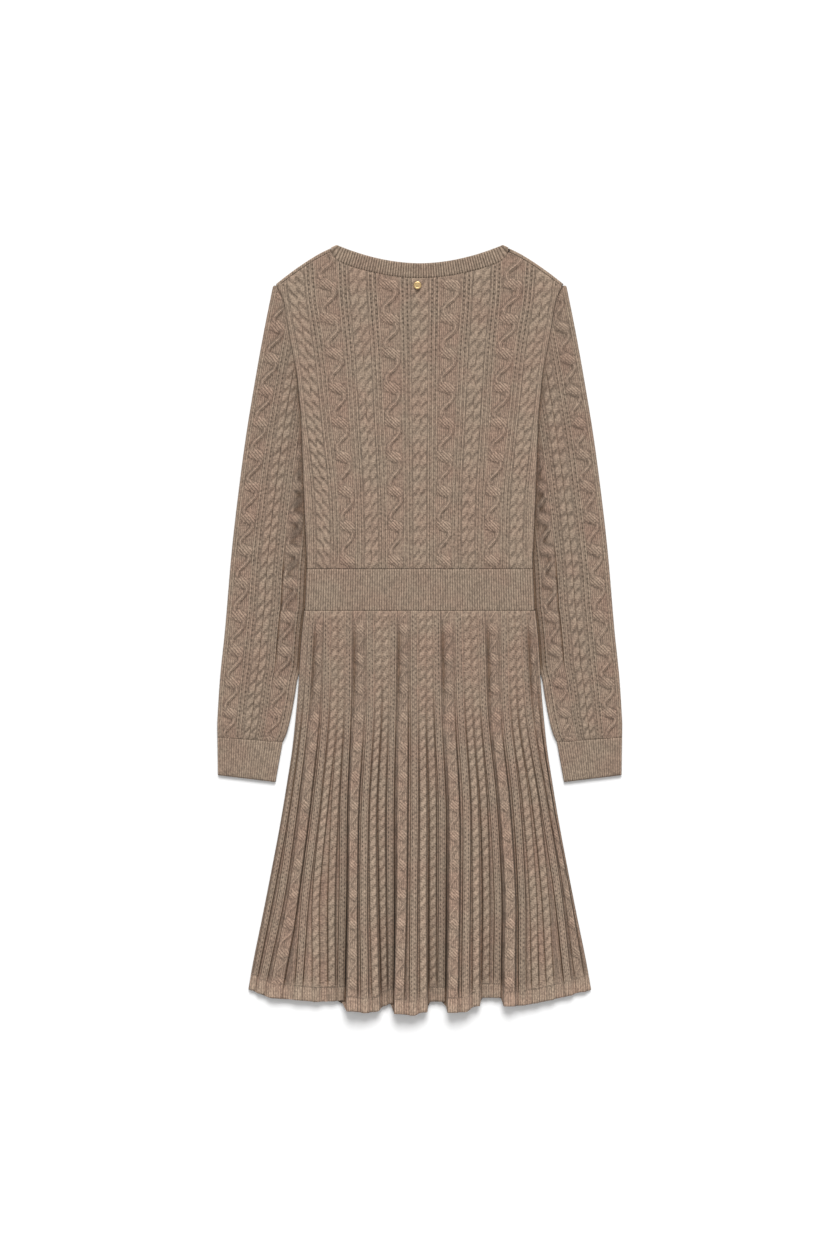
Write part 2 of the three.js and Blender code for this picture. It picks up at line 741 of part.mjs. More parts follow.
// The left sleeve; the right one is its mirror image
function sleeve() {
  const columns = sleeveColumns();
  const seamY = (width) => cuffSeam(sleeveX(width, CUFF.outer[1]));
  const over = columns.map(({ width, offset, height, pitch }, i) => {
    const margin = (columns.length - i) * COLUMN_ROOM + 1;
    const x = (y) => Math.min(sleeveX(width, y) + offset(y), -sleeveInner(y) - margin);
    return columnLine(width / (2 * SLEEVE_WIDTH), sleeveStart(width + 1), seamY(width), pitch, x, height);
  });
  const straight = (width, z, place, count) => ({
    place,
    points: spread(sleeveStart(width), seamY(width), count).map((y) => [sleeveX(width, y), y, z]),
  });
  const under = (widths, z, count) => widths.map((width) => (
    straight(width, z, 1 - width / (2 * SLEEVE_WIDTH), count)
  ));
  const beneath = spread(TURN_INSET, SLEEVE_WIDTH - TURN_INSET, 8).reverse();
  const outside = [
    straight(0, FOLD_RADIUS, 0, 20),
    ...over,
    straight(SLEEVE_WIDTH - 1, FACE - 0.4, 0.5 - 0.004, 12),
    straight(SLEEVE_WIDTH, FOLD_RADIUS, 0.5, 12),
    ...under(beneath, 0, 6),
  ];
  const within = spread(2 * WALL, SLEEVE_WIDTH - 2 * WALL, 9);
  const inside = [
    ...within.map((width) => straight(width, UPPER, width / (2 * SLEEVE_WIDTH), 5)),
    ...under([...within].reverse(), WALL, 5),
  ];
  return Cloth.tube(outside, inside);
}

// Skirt
const kindOf = (rib) => SKIRT_RIBS[rib][0];

// X, lift and hem of the skirt at a place counted in ribs, between the side edges at -1 and at the end
function skirtAt(place, y) {
  const last = SKIRT_RIBS.length;
  const value = (rib) => {
    if (rib < 0 || rib >= last) {
      return { x: (rib < 0 ? -1 : 1) * at(SKIRT_EDGE, y), lift: 0, hem: HEM_CORNER };
    }
    const stations = STATIONS.map((station, i) => [station, SKIRT_RIBS[rib][i + 1]]).reverse();
    const [lift, hem] = SKIRT_RIBS[rib].slice(-2);
    return { x: at(stations, y), lift, hem };
  };
  const rib = Math.floor(place);
  const [a, b] = [value(rib), value(rib + 1)];
  const t = place - rib;
  return { x: lerp(a.x, b.x, t), lift: lerp(a.lift, b.lift, t), hem: lerp(a.hem, b.hem, t) };
}

// Share of the full fold at a Y, with the fold starting below the hips
const foldShare = (y) => clamp((LIFT_START - y) / (LIFT_START - HEM_CORNER), 0, 1) ** LIFT_CURVE;

// Width between a rib and the next one on a side, at a Y
const gapWidth = (rib, side, y) => Math.abs(skirtAt(rib + side, y).x - skirtAt(rib, y).x);

// Share of that gap that the flank of the rib takes
const flank = (rib, side, y) => Math.min(RIB_HALF[kindOf(rib)] / gapWidth(rib, side, y), 0.44);

// Rows down the skirt, the last two at the hem band's top and at the hem
function skirtRows(place, count) {
  const { hem } = skirtAt(place, HEM_CORNER);
  const top = WAIST_BOTTOM - SEAM_GAP;
  return [...spread(top, hem + HEM_BAND, count), hem];
}

// Height of the cable ribs at a Y
const ribRise = (y) => (
  lerp(RIB_RISE_TOP, RIB_RISE_LOW, clamp((WAIST_BOTTOM - y) / RIB_RISE_LENGTH, 0, 1))
);

// A line down the skirt at a place that may shift with Y, raised over the fold
function skirtLine(place, shift, height, ys) {
  const points = ys.map((y, i) => {
    const here = skirtAt(place(y), y);
    const end = i === 0 || i >= ys.length - 2;
    return [here.x + shift(y), y, FACE + here.lift * foldShare(y) + height(y) * (end ? SEAM_SHARE : 1)];
  });
  return { place: place(HEM_CORNER), points };
}

// The lines of the skirt's upper face: both feet of each rib, and its crowns between them
function skirtColumns() {
  const none = () => 0;
  const lines = [];
  SKIRT_RIBS.forEach(([kind], rib) => {
    const low = (side) => {
      const place = (y) => rib + side * flank(rib, side, y);
      lines.push(skirtLine(place, none, none, skirtRows(rib + side * 0.4, SKIRT_STEPS)));
    };
    const crown = (column, rise) => {
      const { hem } = skirtAt(rib, HEM_CORNER);
      const ys = [...rows(WAIST_BOTTOM - SEAM_GAP, hem + HEM_BAND, column.pitch), hem];
      lines.push(skirtLine(() => rib, column.offset, (y) => rise(y) + column.height(y), ys));
    };
    low(-1);
    if (kind === 'rope') {
      crown(ropeCrown(SKIRT_ROPE, () => SKIRT_ROPE_LEAN, SKIRT_ROPE_HEIGHT, 0), ribRise);
    }
    if (kind === 'ladder') {
      [-1, 1].forEach((side) => {
        const place = (y) => rib + side * 0.55 * flank(rib, side, y);
        const ys = skirtRows(rib + side * 0.2, SKIRT_STEPS);
        lines.push(skirtLine(place, none, (y) => ribRise(y) * 0.75, ys));
      });
    }
    if (kind === 'wave') {
      const side = (sign, y) => flank(rib, sign, y) * gapWidth(rib, sign, y);
      const room = (y) => Math.min(side(-1, y), side(1, y));
      const strand = waveStrand(
        SKIRT_WAVE,
        (y) => room(y) * 0.42,
        (y) => room(y) * 0.36,
        SKIRT_WAVE_HEIGHT,
        4,
      );
      strand.forEach((line) => crown(line, (y) => ribRise(y) * 0.8));
    }
    low(1);
  });
  return lines;
}

function skirtBack() {
  const last = SKIRT_RIBS.length;
  const edge = (side, inset, z, place) => {
    const end = side < 0 ? -1 : last;
    return {
      place,
      points: skirtRows(end, 2 * SKIRT_STEPS).map((y) => {
        const { x } = skirtAt(end, y);
        return [x - side * inset, y, z];
      }),
    };
  };
  const [high, low] = [FACE - TURN_DROP, UPPER - UNDER_DROP];
  const upper = [edge(-1, 0, high, -1), ...skirtColumns(), edge(1, 0, high, last)];
  const under = SKIRT_RIBS.map((_, rib) => ({
    place: rib,
    points: skirtRows(rib, SKIRT_STEPS).map((y) => {
      const here = skirtAt(rib, y);
      return [here.x, y, UPPER + here.lift * foldShare(y)];
    }),
  }));
  const lower = [edge(-1, UNDER_INSET, low, -1), ...under, edge(1, UNDER_INSET, low, last)];
  return Cloth.panel(upper, lower).mesh('skirt_back', KNIT);
}

function skirtFront() {
  const top = WAIST_BOTTOM - SEAM_GAP;
  const frontHem = (share) => HEM_CORNER + FRONT_HEM_INSET - FRONT_HEM_BOW * (1 - share * share);
  const lines = (z) => spread(-1, 1, 8).map((share) => ({
    place: share,
    points: spread(top, frontHem(share), 12).map((y) => (
      [share * (at(SKIRT_EDGE, y) - FRONT_INSET), y, z]
    )),
  }));
  return Cloth.panel(lines(WALL), lines(0)).mesh('skirt_front', KNIT);
}

// Plain round stud below the neckband
function neckStud() {
  const { x, y, radius, height, gap } = STUD;
  const profile = [
    [0, 0],
    [radius, 0],
    [radius, height * 0.6],
    [radius * 0.8, height],
    [0, height],
  ].map(([r, z]) => new THREE.Vector2(r, z));
  const geometry = new THREE.LatheGeometry(profile, 20);
  const mesh = new THREE.Mesh(geometry, METAL);
  mesh.rotation.x = Math.PI / 2;
  mesh.position.set(x, y, FACE + ROPE_HEIGHT + gap);
  mesh.name = 'neck_stud';
  return mesh;
}

const dress = new THREE.Group();
dress.add(bodiceBack(), bodiceFront());
dress.add(sleeve().mesh('sleeve_left', KNIT), sleeve().mirrored().mesh('sleeve_right', KNIT));
dress.add(cuff().mesh('cuff_left', RIBBED), cuff().mirrored().mesh('cuff_right', RIBBED));
dress.add(neckband(), waistband(), skirtBack(), skirtFront(), neckStud());

// The origin is the middle of the dress, on the surface that it lies on
dress.updateMatrixWorld(true);
const box = new THREE.Box3().setFromObject(dress, true);
const middle = box.getCenter(new THREE.Vector3());
dress.position.set(-middle.x, -middle.y, -box.min.z);

export default dress;
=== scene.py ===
"""A knitted sweater dress, laid flat with its back up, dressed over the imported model.

Run as a script: the operators make each group of pieces in turn, in metres, in the model's frame.
"""
from math import pi, radians

import bpy
import numpy as np
from bpy.props import FloatProperty, FloatVectorProperty, PointerProperty
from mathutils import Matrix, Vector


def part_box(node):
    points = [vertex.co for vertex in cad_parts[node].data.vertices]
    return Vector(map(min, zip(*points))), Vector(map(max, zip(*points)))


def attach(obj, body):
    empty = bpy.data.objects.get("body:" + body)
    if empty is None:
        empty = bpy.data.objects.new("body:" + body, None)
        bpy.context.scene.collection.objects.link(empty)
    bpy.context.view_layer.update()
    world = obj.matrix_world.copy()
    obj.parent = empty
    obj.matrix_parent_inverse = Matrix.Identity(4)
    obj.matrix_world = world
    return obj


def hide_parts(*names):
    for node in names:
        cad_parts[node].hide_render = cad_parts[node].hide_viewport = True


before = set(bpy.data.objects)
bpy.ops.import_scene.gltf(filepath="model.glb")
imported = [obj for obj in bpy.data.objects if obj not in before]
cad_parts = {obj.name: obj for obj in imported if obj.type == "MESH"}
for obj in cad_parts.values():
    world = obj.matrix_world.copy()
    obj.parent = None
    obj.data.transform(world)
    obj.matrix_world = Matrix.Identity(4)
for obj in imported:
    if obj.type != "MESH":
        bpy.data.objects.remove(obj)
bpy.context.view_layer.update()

bl_info = {
    "name": "Sweater Dress",
    "version": (1, 0, 0),
    "blender": (4, 5, 0),
    "location": "3D View > Sidebar > Dress",
    "description": "Knitted panels, rib bands and a plain stud over the packed dress",
    "category": "Object",
}

MM = 0.001

# Knit, in millimetres: distance of the eyelets from a ladder's middle and from each other, and the
# ladder distance that marks a place with no ladder, which is above 0 beside a wave cable and below
# 0 elsewhere
EYELET_AT = 2.7
EYELET_PITCH = 5.2
PLAIN_SIDE = 20.0

# Where the cables lie and how wide they are, as shares of a repeat from the middle between its two
# ropes: a ladder's relief reaches a little beyond the part of it that has eyelets
ROPE_AT = 0.072
ROPE_HALF = 0.07
LADDER_AT = 0.242
LADDER_HALF = 0.08
LADDER_REACH = 0.11
LADDER_OPEN = 0.085
WAVE_HALF = 0.165

# Width of a repeat at which the wave cable has the widths that wave_cable gives
WAVE_REPEAT = 60.0

# Repeat of the bodice, counted from its middle, whose ropes lean the other way
TURNED_REPEAT = -2

# How far the whole yarn goes from its ground colour toward its raised colour, by slot
CROWN_SHARES = {"cable_knit": 0.3, "fine_rib": 0.42}

# Cloth, in millimetres: thickness of a panel, gap between two, heights of the upper panel's
# underside and face, and the height halfway up to that face
WALL = 1.7
LAYER_GAP = 0.6
UPPER = WALL + LAYER_GAP
FACE = UPPER + WALL
MID = FACE / 2

# Waistband: Y of its edges and its half widths there, and the gap at a seam
WAIST_TOP = 70.2
WAIST_BOTTOM = 21.5
WAIST_HALF_TOP = 131.0
WAIST_HALF_BOTTOM = 133.0
SEAM_GAP = 0.4

# Neckline: half width at the shoulders, Y of its middle, rise to the shoulders, drop of the front
NECK_HALF = 95.7
NECK_BOTTOM = 424.4
NECK_RISE = 21.0
FRONT_NECK_DROP = 34.0

# Neckband: share of the way from the centre to the shoulder, width, lean in degrees
BACK_BAND = (
    (0.0, 17.4, 0.0),
    (0.5, 17.4, 12.0),
    (0.9, 17.2, 22.0),
    (0.97, 13.5, 36.0),
    (1.0, 7.6, 65.0),
)
FRONT_BAND = (
    (0.0, 17.4, 0.0),
    (0.5, 17.4, 30.0),
    (0.9, 15.0, 52.0),
    (1.0, 7.6, 65.0),
)

# Shoulder line: X, Y
SHOULDER = (
    (95.7, 445.4),
    (117.5, 434.8),
    (139.5, 420.8),
    (159.2, 406.2),
    (171.0, 396.6),
)

# How far the front comes over the shoulder onto the back, and the half width of the front there
SHOULDER_LIP = 4.5
SHOULDER_TIP = 168.2

# Armhole and side of the bodice: Y, half width
BODICE_EDGE = (
    (70.0, 131.0),
    (90.0, 131.5),
    (143.0, 134.0),
    (197.0, 136.0),
    (250.0, 138.1),
    (268.0, 140.1),
    (288.0, 141.8),
    (312.0, 145.6),
    (330.0, 149.2),
    (352.0, 153.0),
    (373.0, 156.0),
    (388.0, 160.6),
    (402.0, 168.5),
)

# Side of the skirt: Y, half width
SKIRT_EDGE = (
    (-417.0, 198.7),
    (-382.0, 192.4),
    (-330.0, 181.8),
    (-278.0, 171.6),
    (-226.0, 161.8),
    (-173.0, 153.0),
    (-139.0, 147.8),
    (-104.0, 144.0),
    (-69.0, 140.9),
    (-11.0, 137.2),
    (21.5, 133.9),
)

# Outer side of the sleeve: Y, X
SLEEVE_OUTER = (
    (-125.0, 234.6),
    (-104.0, 234.5),
    (-52.0, 231.1),
    (1.0, 225.6),
    (88.0, 218.2),
    (157.0, 210.4),
    (227.0, 201.0),
    (296.0, 189.6),
    (349.0, 180.0),
    (397.0, 170.4),
)
SLEEVE_TOP = 398.6

# Free inner side of the sleeve, below the body: Y, X
SLEEVE_INNER = (
    (-130.5, 158.9),
    (-121.0, 154.4),
    (-104.0, 149.9),
    (-86.0, 146.4),
    (-69.0, 143.6),
    (-45.0, 140.3),
)

# Y between which the sleeve's inner side goes under the body, and between which the body's edge
# sinks from the armhole seam onto the sleeve
UNDER_BODY = (-62.0, -38.0)
ARMHOLE = (270.0, 350.0)

# Cuff: corners of its seam and of its end, and Y halfway along the seam
CUFF_OUTER = (234.6, -125.0)
CUFF_INNER = (158.9, -130.5)
CUFF_END_OUTER = (234.0, -168.8)
CUFF_END_INNER = (167.2, -176.9)
CUFF_SEAM = -127.0

# Repeat of the cable pattern on the bodice: Y, width of one repeat
REPEAT = (
    (70.0, 56.0),
    (105.0, 55.8),
    (163.0, 57.0),
    (244.0, 61.5),
    (325.0, 66.0),
    (385.0, 71.0),
    (440.0, 73.0),
)

# Sleeve: width of the repeat, place of the ropes from the outer side, a wave's length near the cuff
# and above, the Y between which it changes, and a wave and a crossing as the pattern counts them
SLEEVE_REPEAT = 55.5
SLEEVE_ROPE_AT = 42.6
SLEEVE_WAVES = (33.5, 37.0)
SLEEVE_CHANGE = (-110.0, 60.0)
SLEEVE_WAVE = 36.0
SLEEVE_CROSSING = 13.8 * SLEEVE_WAVE / 35.0

# Hem: Y of its corners and height of its plain rib band, and Y from which the folds rise, with the
# power by which they do
HEM_CORNER = -417.0
HEM_BAND = 16.0
LIFT_START = -60.0
LIFT_CURVE = 1.35

# Skirt: the Y of the stations, and the ribs from left to right: kind, X at each of the stations,
# lift of the hem, Y of the hem
STATIONS = (6.0, -97.0, -201.0, -306.0, -387.0)
SKIRT_RIBS = (
    ("ladder", -131, -139, -154, -173, -189, 0.5, -418),
    ("ladder", -126, -133, -145, -160, -177, 2, -422),
    ("wave", -117, -121, -132, -146, -161, 4, -427),
    ("ladder", -107, -109, -119, -132, -138, 5, -429),
    ("rope", -99, -100, -110, -120, -120, 5, -431),
    ("rope", -91, -91, -98, -102, -102, 3, -430.5),
    ("ladder", -83, -84, -88, -89, -90.5, 1.5, -430),
    ("wave", -70, -70, -76, -77, -78, 13, -441),
    ("ladder", -57, -57, -63, -65, -64, 12, -443),
    ("rope", -48, -48, -54, -54, -52, 9, -442),
    ("rope", -39.5, -40, -44, -43, -41, 2, -435.5),
    ("ladder", -31, -32, -34, -34, -34, 1, -433.5),
    ("wave", -18.5, -19, -20, -21, -24, 13, -444),
    ("ladder", -6, -6, -6, -7, -7.5, 12, -446),
    ("rope", 2.5, 3, 4, 3.5, 4, 10, -442.5),
    ("rope", 11, 12, 15, 15, 15, 1, -431),
    ("ladder", 19.5, 21, 26, 26, 25.5, 1.5, -431),
    ("wave", 32, 35, 39.5, 40, 38.5, 13, -442.5),
    ("ladder", 45.5, 48, 54, 54, 53, 11, -442),
    ("rope", 54.5, 57, 63.5, 65, 65, 8, -435.5),
    ("rope", 62.5, 66, 74, 77, 76.5, 2, -426.5),
    ("ladder", 71, 75, 85, 90.5, 90, 2.5, -426.5),
    ("wave", 85, 88, 98, 105, 104, 10, -435.5),
    ("ladder", 98.5, 101, 112, 118, 118.5, 6, -435),
    ("rope", 106.5, 110, 123, 131, 133, 6, -432.5),
    ("rope", 113.5, 118, 134, 145, 149.5, 5, -429),
    ("ladder", 121, 127, 144, 160, 169, 3, -424),
    ("wave", 129, 136, 152, 172, 184, 1, -420),
)
KINDS = np.array(["side"] + [rib[0] for rib in SKIRT_RIBS] + ["side"])

# Skirt: half widths of the ribs, the most that half a rib takes of the way to the next, a wave's
# length, the half width of a rib at which its cable has the widths that wave_cable gives, heights
# of the cables, and the step of the hem up to which it runs on smoothly
RIB_HALF = {"side": 0.4, "ladder": 4.4, "rope": 4.3, "wave": 8.0}
RIB_SHARE = 0.44
SKIRT_WAVE = 34.0
SKIRT_WAVE_HALF = 8.8
SKIRT_WAVE_HEIGHT = 1.6
SKIRT_ROPE_HEIGHT = 2.1
GENTLE_STEP = 7.0

# Columns of the skirt's grid: shares of the way from a crown to its foot, and across a valley
CROWN_STEPS = {
    "side": (0.0, 1.0),
    "ladder": (0.0, 0.4, 0.75, 1.0),
    "rope": (0.0, 0.3, 0.6, 0.82, 1.0),
    "wave": (0.0, 0.14, 0.28, 0.42, 0.56, 0.7, 0.86, 1.0),
}
UNDER_STEPS = {kind: (0.0, 1.0) for kind in CROWN_STEPS}
VALLEY_STEPS = (0.16, 0.5, 0.84)

# Depths and heights of the front's strip over the shoulder, from its edge down
LIP_DEPTHS = (0.0, 0.6, 1.6, 3.0, 4.0, SHOULDER_LIP)
LIP_HEIGHTS = (0.55, 0.85, 1.0, 1.0, 0.97, 0.0)

# Grids: rows and columns of an upper face, then rows of its underside and columns to one of its
BACK_GRID = (332, 276, 34, 9)
FRONT_GRID = (90, 132, 20, 11)
SKIRT_FRONT_GRID = (60, 60, 16, 4)

# Rows of the skirt's upper face and underside, and the neckband's sections over and under
SKIRT_ROWS = (258, 36)
NECK_STEPS = (430, 90)

# Sleeve: rows outside and inside, and columns over its top, round a side and under it
SLEEVE_ROWS = (440, 12)
SLEEVE_COLUMNS = (84, 6, 14)

# Rib tubes: radius and points of a fold, distance of the columns over them, columns under them
TUBE_FOLD = 1.6
FOLD_STEPS = 9
TUBE_STEP = 0.5
TUBE_UNDER = 40

# Halvings to find where a column ends, and points round the stud
HALVINGS = 40
STUD_STEPS = 64

# Stud below the neckband: place, radius and height, then as shares of these the height of its
# middle and its profile, from its foot up
STUD_X = -2.6
STUD_Y = 398.5
STUD_RADIUS = 4.6
STUD_HEIGHT = 1.7
STUD_MIDDLE = 0.95
STUD_PROFILE = (
    (0.82, 0.0), (0.97, 0.12), (1.0, 0.35), (0.98, 0.62), (0.9, 0.84),
    (0.8, 0.95), (0.7, 0.93), (0.62, 0.84), (0.4, 0.9), (0.2, 0.94),
)

# Stage: the photo's height in pixels and a pixel's size in millimetres, the photo's middle as X and
# Y in millimetres, in metres the reach of the floor and how far it lies below the dress, strength
# of the sky and the sun, and breadth and lean of the sun in degrees
PHOTO_ROWS = 1260
PHOTO_PIXEL = 1.16
PHOTO_MIDDLE = (0.3, -0.6)
FLOOR_REACH = 6.0
FLOOR_DROP = 0.0002
SKY_STRENGTH = 0.62
SUN_STRENGTH = 3.3
SUN_BREADTH = 38.0
SUN_LEAN = (-49.0, 4.0)


class DressSizes(bpy.types.PropertyGroup):
    """Sizes of the knit that a user would change."""

    wave_height: FloatProperty(
        name="Wave cable height", description="How far a wave cable stands over the plain knit",
        default=1.95 * MM, unit="LENGTH")
    wave_length: FloatProperty(
        name="Wave cable length", description="Length of one wave of the bodice's wave cables",
        default=40.0 * MM, unit="LENGTH")
    rope_height: FloatProperty(
        name="Rope height", description="How far a rope cable stands over the plain knit",
        default=1.35 * MM, unit="LENGTH")
    rope_length: FloatProperty(
        name="Rope crossing", description="Length of one crossing of a rope cable",
        default=14.4 * MM, unit="LENGTH")
    rib_pitch: FloatProperty(
        name="Rib pitch", description="Width of one knit and one purl column in the rib bands",
        default=2.8 * MM, unit="LENGTH")
    rib_height: FloatProperty(
        name="Rib height", description="How far the rib bands' columns stand up",
        default=0.5 * MM, unit="LENGTH")
    wale: FloatProperty(
        name="Stitch width", description="Width of one stitch",
        default=2.3 * MM, unit="LENGTH")
    course: FloatProperty(
        name="Stitch length", description="Length of one stitch",
        default=1.8 * MM, unit="LENGTH")


class DressColours(bpy.types.PropertyGroup):
    """Colours of the yarn, the stud and the floor."""

    crown: FloatVectorProperty(
        name="Raised yarn", description="Yarn where it stands up into the light",
        subtype="COLOR", default=(0.315, 0.242, 0.181))
    ground: FloatVectorProperty(
        name="Ground yarn", description="Yarn of the plain knit between the cables",
        subtype="COLOR", default=(0.225, 0.166, 0.122))
    blush: FloatVectorProperty(
        name="Blush yarn", description="Warmer, pinker stretches of the melange",
        subtype="COLOR", default=(0.245, 0.155, 0.115))
    metal: FloatVectorProperty(
        name="Stud", description="Pale gold of the stud",
        subtype="COLOR", default=(0.75, 0.53, 0.26))
    floor: FloatVectorProperty(
        name="Floor", description="Plain pale floor",
        subtype="COLOR", default=(0.9, 0.9, 0.9))


class Wire:
    """One output socket, with arithmetic that adds Math nodes."""

    def __init__(self, finish, socket):
        self.finish = finish
        self.socket = socket

    def math(self, operation, *values):
        """The result of a Math node."""
        return self.finish.node("ShaderNodeMath", {"operation": operation}, dict(enumerate(values)))

    def __add__(self, other):
        return self.math("ADD", self, other)

    __radd__ = __add__

    def __sub__(self, other):
        return self.math("SUBTRACT", self, other)

    def __rsub__(self, other):
        return self.math("SUBTRACT", other, self)

    def __mul__(self, other):
        return self.math("MULTIPLY", self, other)

    __rmul__ = __mul__

    def __truediv__(self, other):
        return self.math("DIVIDE", self, other)


class Finish:
    """A material and the nodes that make it."""

    def __init__(self, name):
        self.material = bpy.data.materials.new(name)
        self.material.use_nodes = True
        self.tree = self.material.node_tree
        self.tree.nodes.clear()

    def node(self, kind, settings=None, sockets=None, output=0):
        """Adds a node, sets its settings and sockets, and returns one of its outputs."""
        node = self.tree.nodes.new(kind)
        for key, value in (settings or {}).items():
            setattr(node, key, value)
        for key, value in (sockets or {}).items():
            if isinstance(value, Wire):
                self.tree.links.new(value.socket, node.inputs[key])
            else:
                node.inputs[key].default_value = value
        return None if output is None else Wire(self, node.outputs[output])

    def split(self, attribute):
        """The three numbers of a vector attribute of the mesh."""
        vector = self.node("ShaderNodeAttribute", {"attribute_name": attribute}, output="Vector")
        return [self.node("ShaderNodeSeparateXYZ", None, {0: vector}, output=i) for i in range(3)]

    def noise(self, scale, detail, stretch=(1.0, 1.0, 1.0)):
        """Noise over the dress, with so many features in a metre."""
        place = self.node("ShaderNodeTexCoord", output="Object")
        place = self.node("ShaderNodeVectorMath", {"operation": "MULTIPLY"}, {0: place, 1: stretch})
        return self.node("ShaderNodeTexNoise", None,
                         {"Vector": place, "Scale": scale, "Detail": detail, "Roughness": 0.6})

    def step(self, value, low, high):
        """0 below low, 1 above high, smooth between them."""
        return self.node("ShaderNodeMapRange", {"interpolation_type": "SMOOTHSTEP"},
                         {0: value, 1: low, 2: high, 3: 0.0, 4: 1.0})

    def mix(self, share, first, second):
        """From the first colour to the second."""
        colours = {0: share, 6: first, 7: second}
        return self.node("ShaderNodeMix", {"data_type": "RGBA"}, colours, output=2)

    def scaled(self, colour, share):
        """The colour, made lighter or darker."""
        return self.node("ShaderNodeVectorMath", {"operation": "SCALE"}, {0: colour, "Scale": share})

    def surface(self, **sockets):
        """Ends the material in one Principled shader."""
        names = {key.replace("_", " "): value for key, value in sockets.items()}
        shader = self.node("ShaderNodeBsdfPrincipled", None, names)
        self.node("ShaderNodeOutputMaterial", None, {"Surface": shader}, output=None)
        return self.material


def size(name):
    """One of the dress's sizes, in millimetres."""
    return getattr(bpy.context.scene.dress_sizes, name) / MM


def rgba(colour):
    """The colour, opaque."""
    return (*colour, 1.0)


def knit_finish(name, crown_share):
    """Melange yarn: V stitches, raised yarn painted lighter than the ground, painted shade in eyelets
    and grooves.
    """
    colours = bpy.context.scene.dress_colours
    finish = Finish(name)
    across, along, relief = finish.split("knit")
    # The motif's numbers: distance from a ladder, eyelets, and the painted shade
    ladder, opened, shade = finish.split("motif_and_shade")

    # Stitches: columns of V stitches, parted by a thin groove; they also darken the colour, as painted
    # shade in the grooves and between the beads
    column = across / size("wale")
    apart = column.math("FRACT", column) - 0.5
    apart = apart.math("ABSOLUTE", apart)
    groove = finish.step(apart, 0.24, 0.5)
    turn = (along / size("course") + apart * 1.3) * (2 * pi)
    bead = turn.math("COSINE", turn) * 0.5 + 0.5
    stitch = (1.0 - groove * 0.85) * (bead * 0.45 + 0.55)

    # Eyelets: two staggered columns of small holes down a ladder, painted dark as the shade inside them
    sign = ladder.math("SIGN", ladder)
    beside = ladder.math("ABSOLUTE", ladder) - EYELET_AT
    cell = along / EYELET_PITCH + sign * 0.25
    down = (cell.math("FRACT", cell) - 0.5) * EYELET_PITCH
    far = beside * beside + down * down * 0.6
    hole = (1.0 - finish.step(far, 0.2, 1.7)) * opened

    # Melange: pinker blotches, more beside the wave cables, flecks of fibre and uneven strands
    gusset = finish.step(ladder, 3.5, 7.0)
    blotch = finish.step(finish.noise(24.0, 3.0), 0.36, 0.66) * 0.6 + gusset * 0.3
    fibre = finish.step(finish.noise(560.0, 2.0, (1.0, 0.6, 1.0)), 0.3, 0.7)
    strand = finish.step(finish.noise(170.0, 3.0, (1.0, 0.55, 1.0)), 0.25, 0.75)
    # Raised yarn goes a little further toward the raised colour, as painted light on the crests
    high = finish.step(relief, 0.1, 1.6) * 0.1 + crown_share
    yarn = finish.mix(blotch, rgba(colours.ground), rgba(colours.blush))
    yarn = finish.mix(high * (1.0 - blotch * 0.45), yarn, rgba(colours.crown))

    # The stitches, eyelets and the mesh's painted shade darken the yarn; where that painted shade is
    # deep the yarn is also warmer, as painted light that bounces from yarn to yarn
    light = (fibre * 0.55 + strand * 0.16 + 0.645) * (stitch * 0.78 + 0.58)
    light = light * (1.0 - hole * 0.85) * (1.0 - shade)
    warm = {0: yarn, 1: (0.9, 0.72, 0.55)}
    deep = finish.node("ShaderNodeVectorMath", {"operation": "MULTIPLY"}, warm)
    yarn = finish.mix(finish.step(shade, 0.1, 0.8), yarn, deep)
    colour = finish.scaled(yarn, light)

    height = stitch * 0.8 + fibre * 0.4 - hole * 1.6
    bump = {"Strength": 0.8, "Distance": 0.7 * MM, "Height": height}
    return finish.surface(
        Base_Color=colour, Roughness=0.92, Normal=finish.node("ShaderNodeBump", None, bump),
        Specular_IOR_Level=0.12, Sheen_Weight=0.14, Sheen_Roughness=0.6,
        Sheen_Tint=(1.0, 0.88, 0.76, 1.0))


def metal_finish(name):
    """Polished pale gold with faint brushing and dull patches."""
    finish = Finish(name)
    brushing = finish.noise(900.0, 2.0, (1.0, 0.15, 1.0))
    wear = finish.noise(260.0, 3.0)
    gold = rgba(bpy.context.scene.dress_colours.metal)
    colour = finish.mix(wear * 0.3, gold, (0.6, 0.42, 0.2, 1.0))
    bump = {"Strength": 0.2, "Distance": 0.05 * MM, "Height": brushing}
    return finish.surface(
        Base_Color=colour, Roughness=brushing * 0.18 + wear * 0.1 + 0.14, Metallic=1.0,
        Normal=finish.node("ShaderNodeBump", None, bump))


def floor_finish():
    """Plain pale floor."""
    colour = rgba(bpy.context.scene.dress_colours.floor)
    return Finish("pale_floor").surface(Base_Color=colour, Roughness=0.9, Specular_IOR_Level=0.1)


def material_for(slot):
    """The finish of a slot, made when it is first asked for."""
    name = f"dressed_{slot}"
    if name in bpy.data.materials:
        return bpy.data.materials[name]
    if slot in CROWN_SHARES:
        return knit_finish(name, CROWN_SHARES[slot])
    return metal_finish(name)


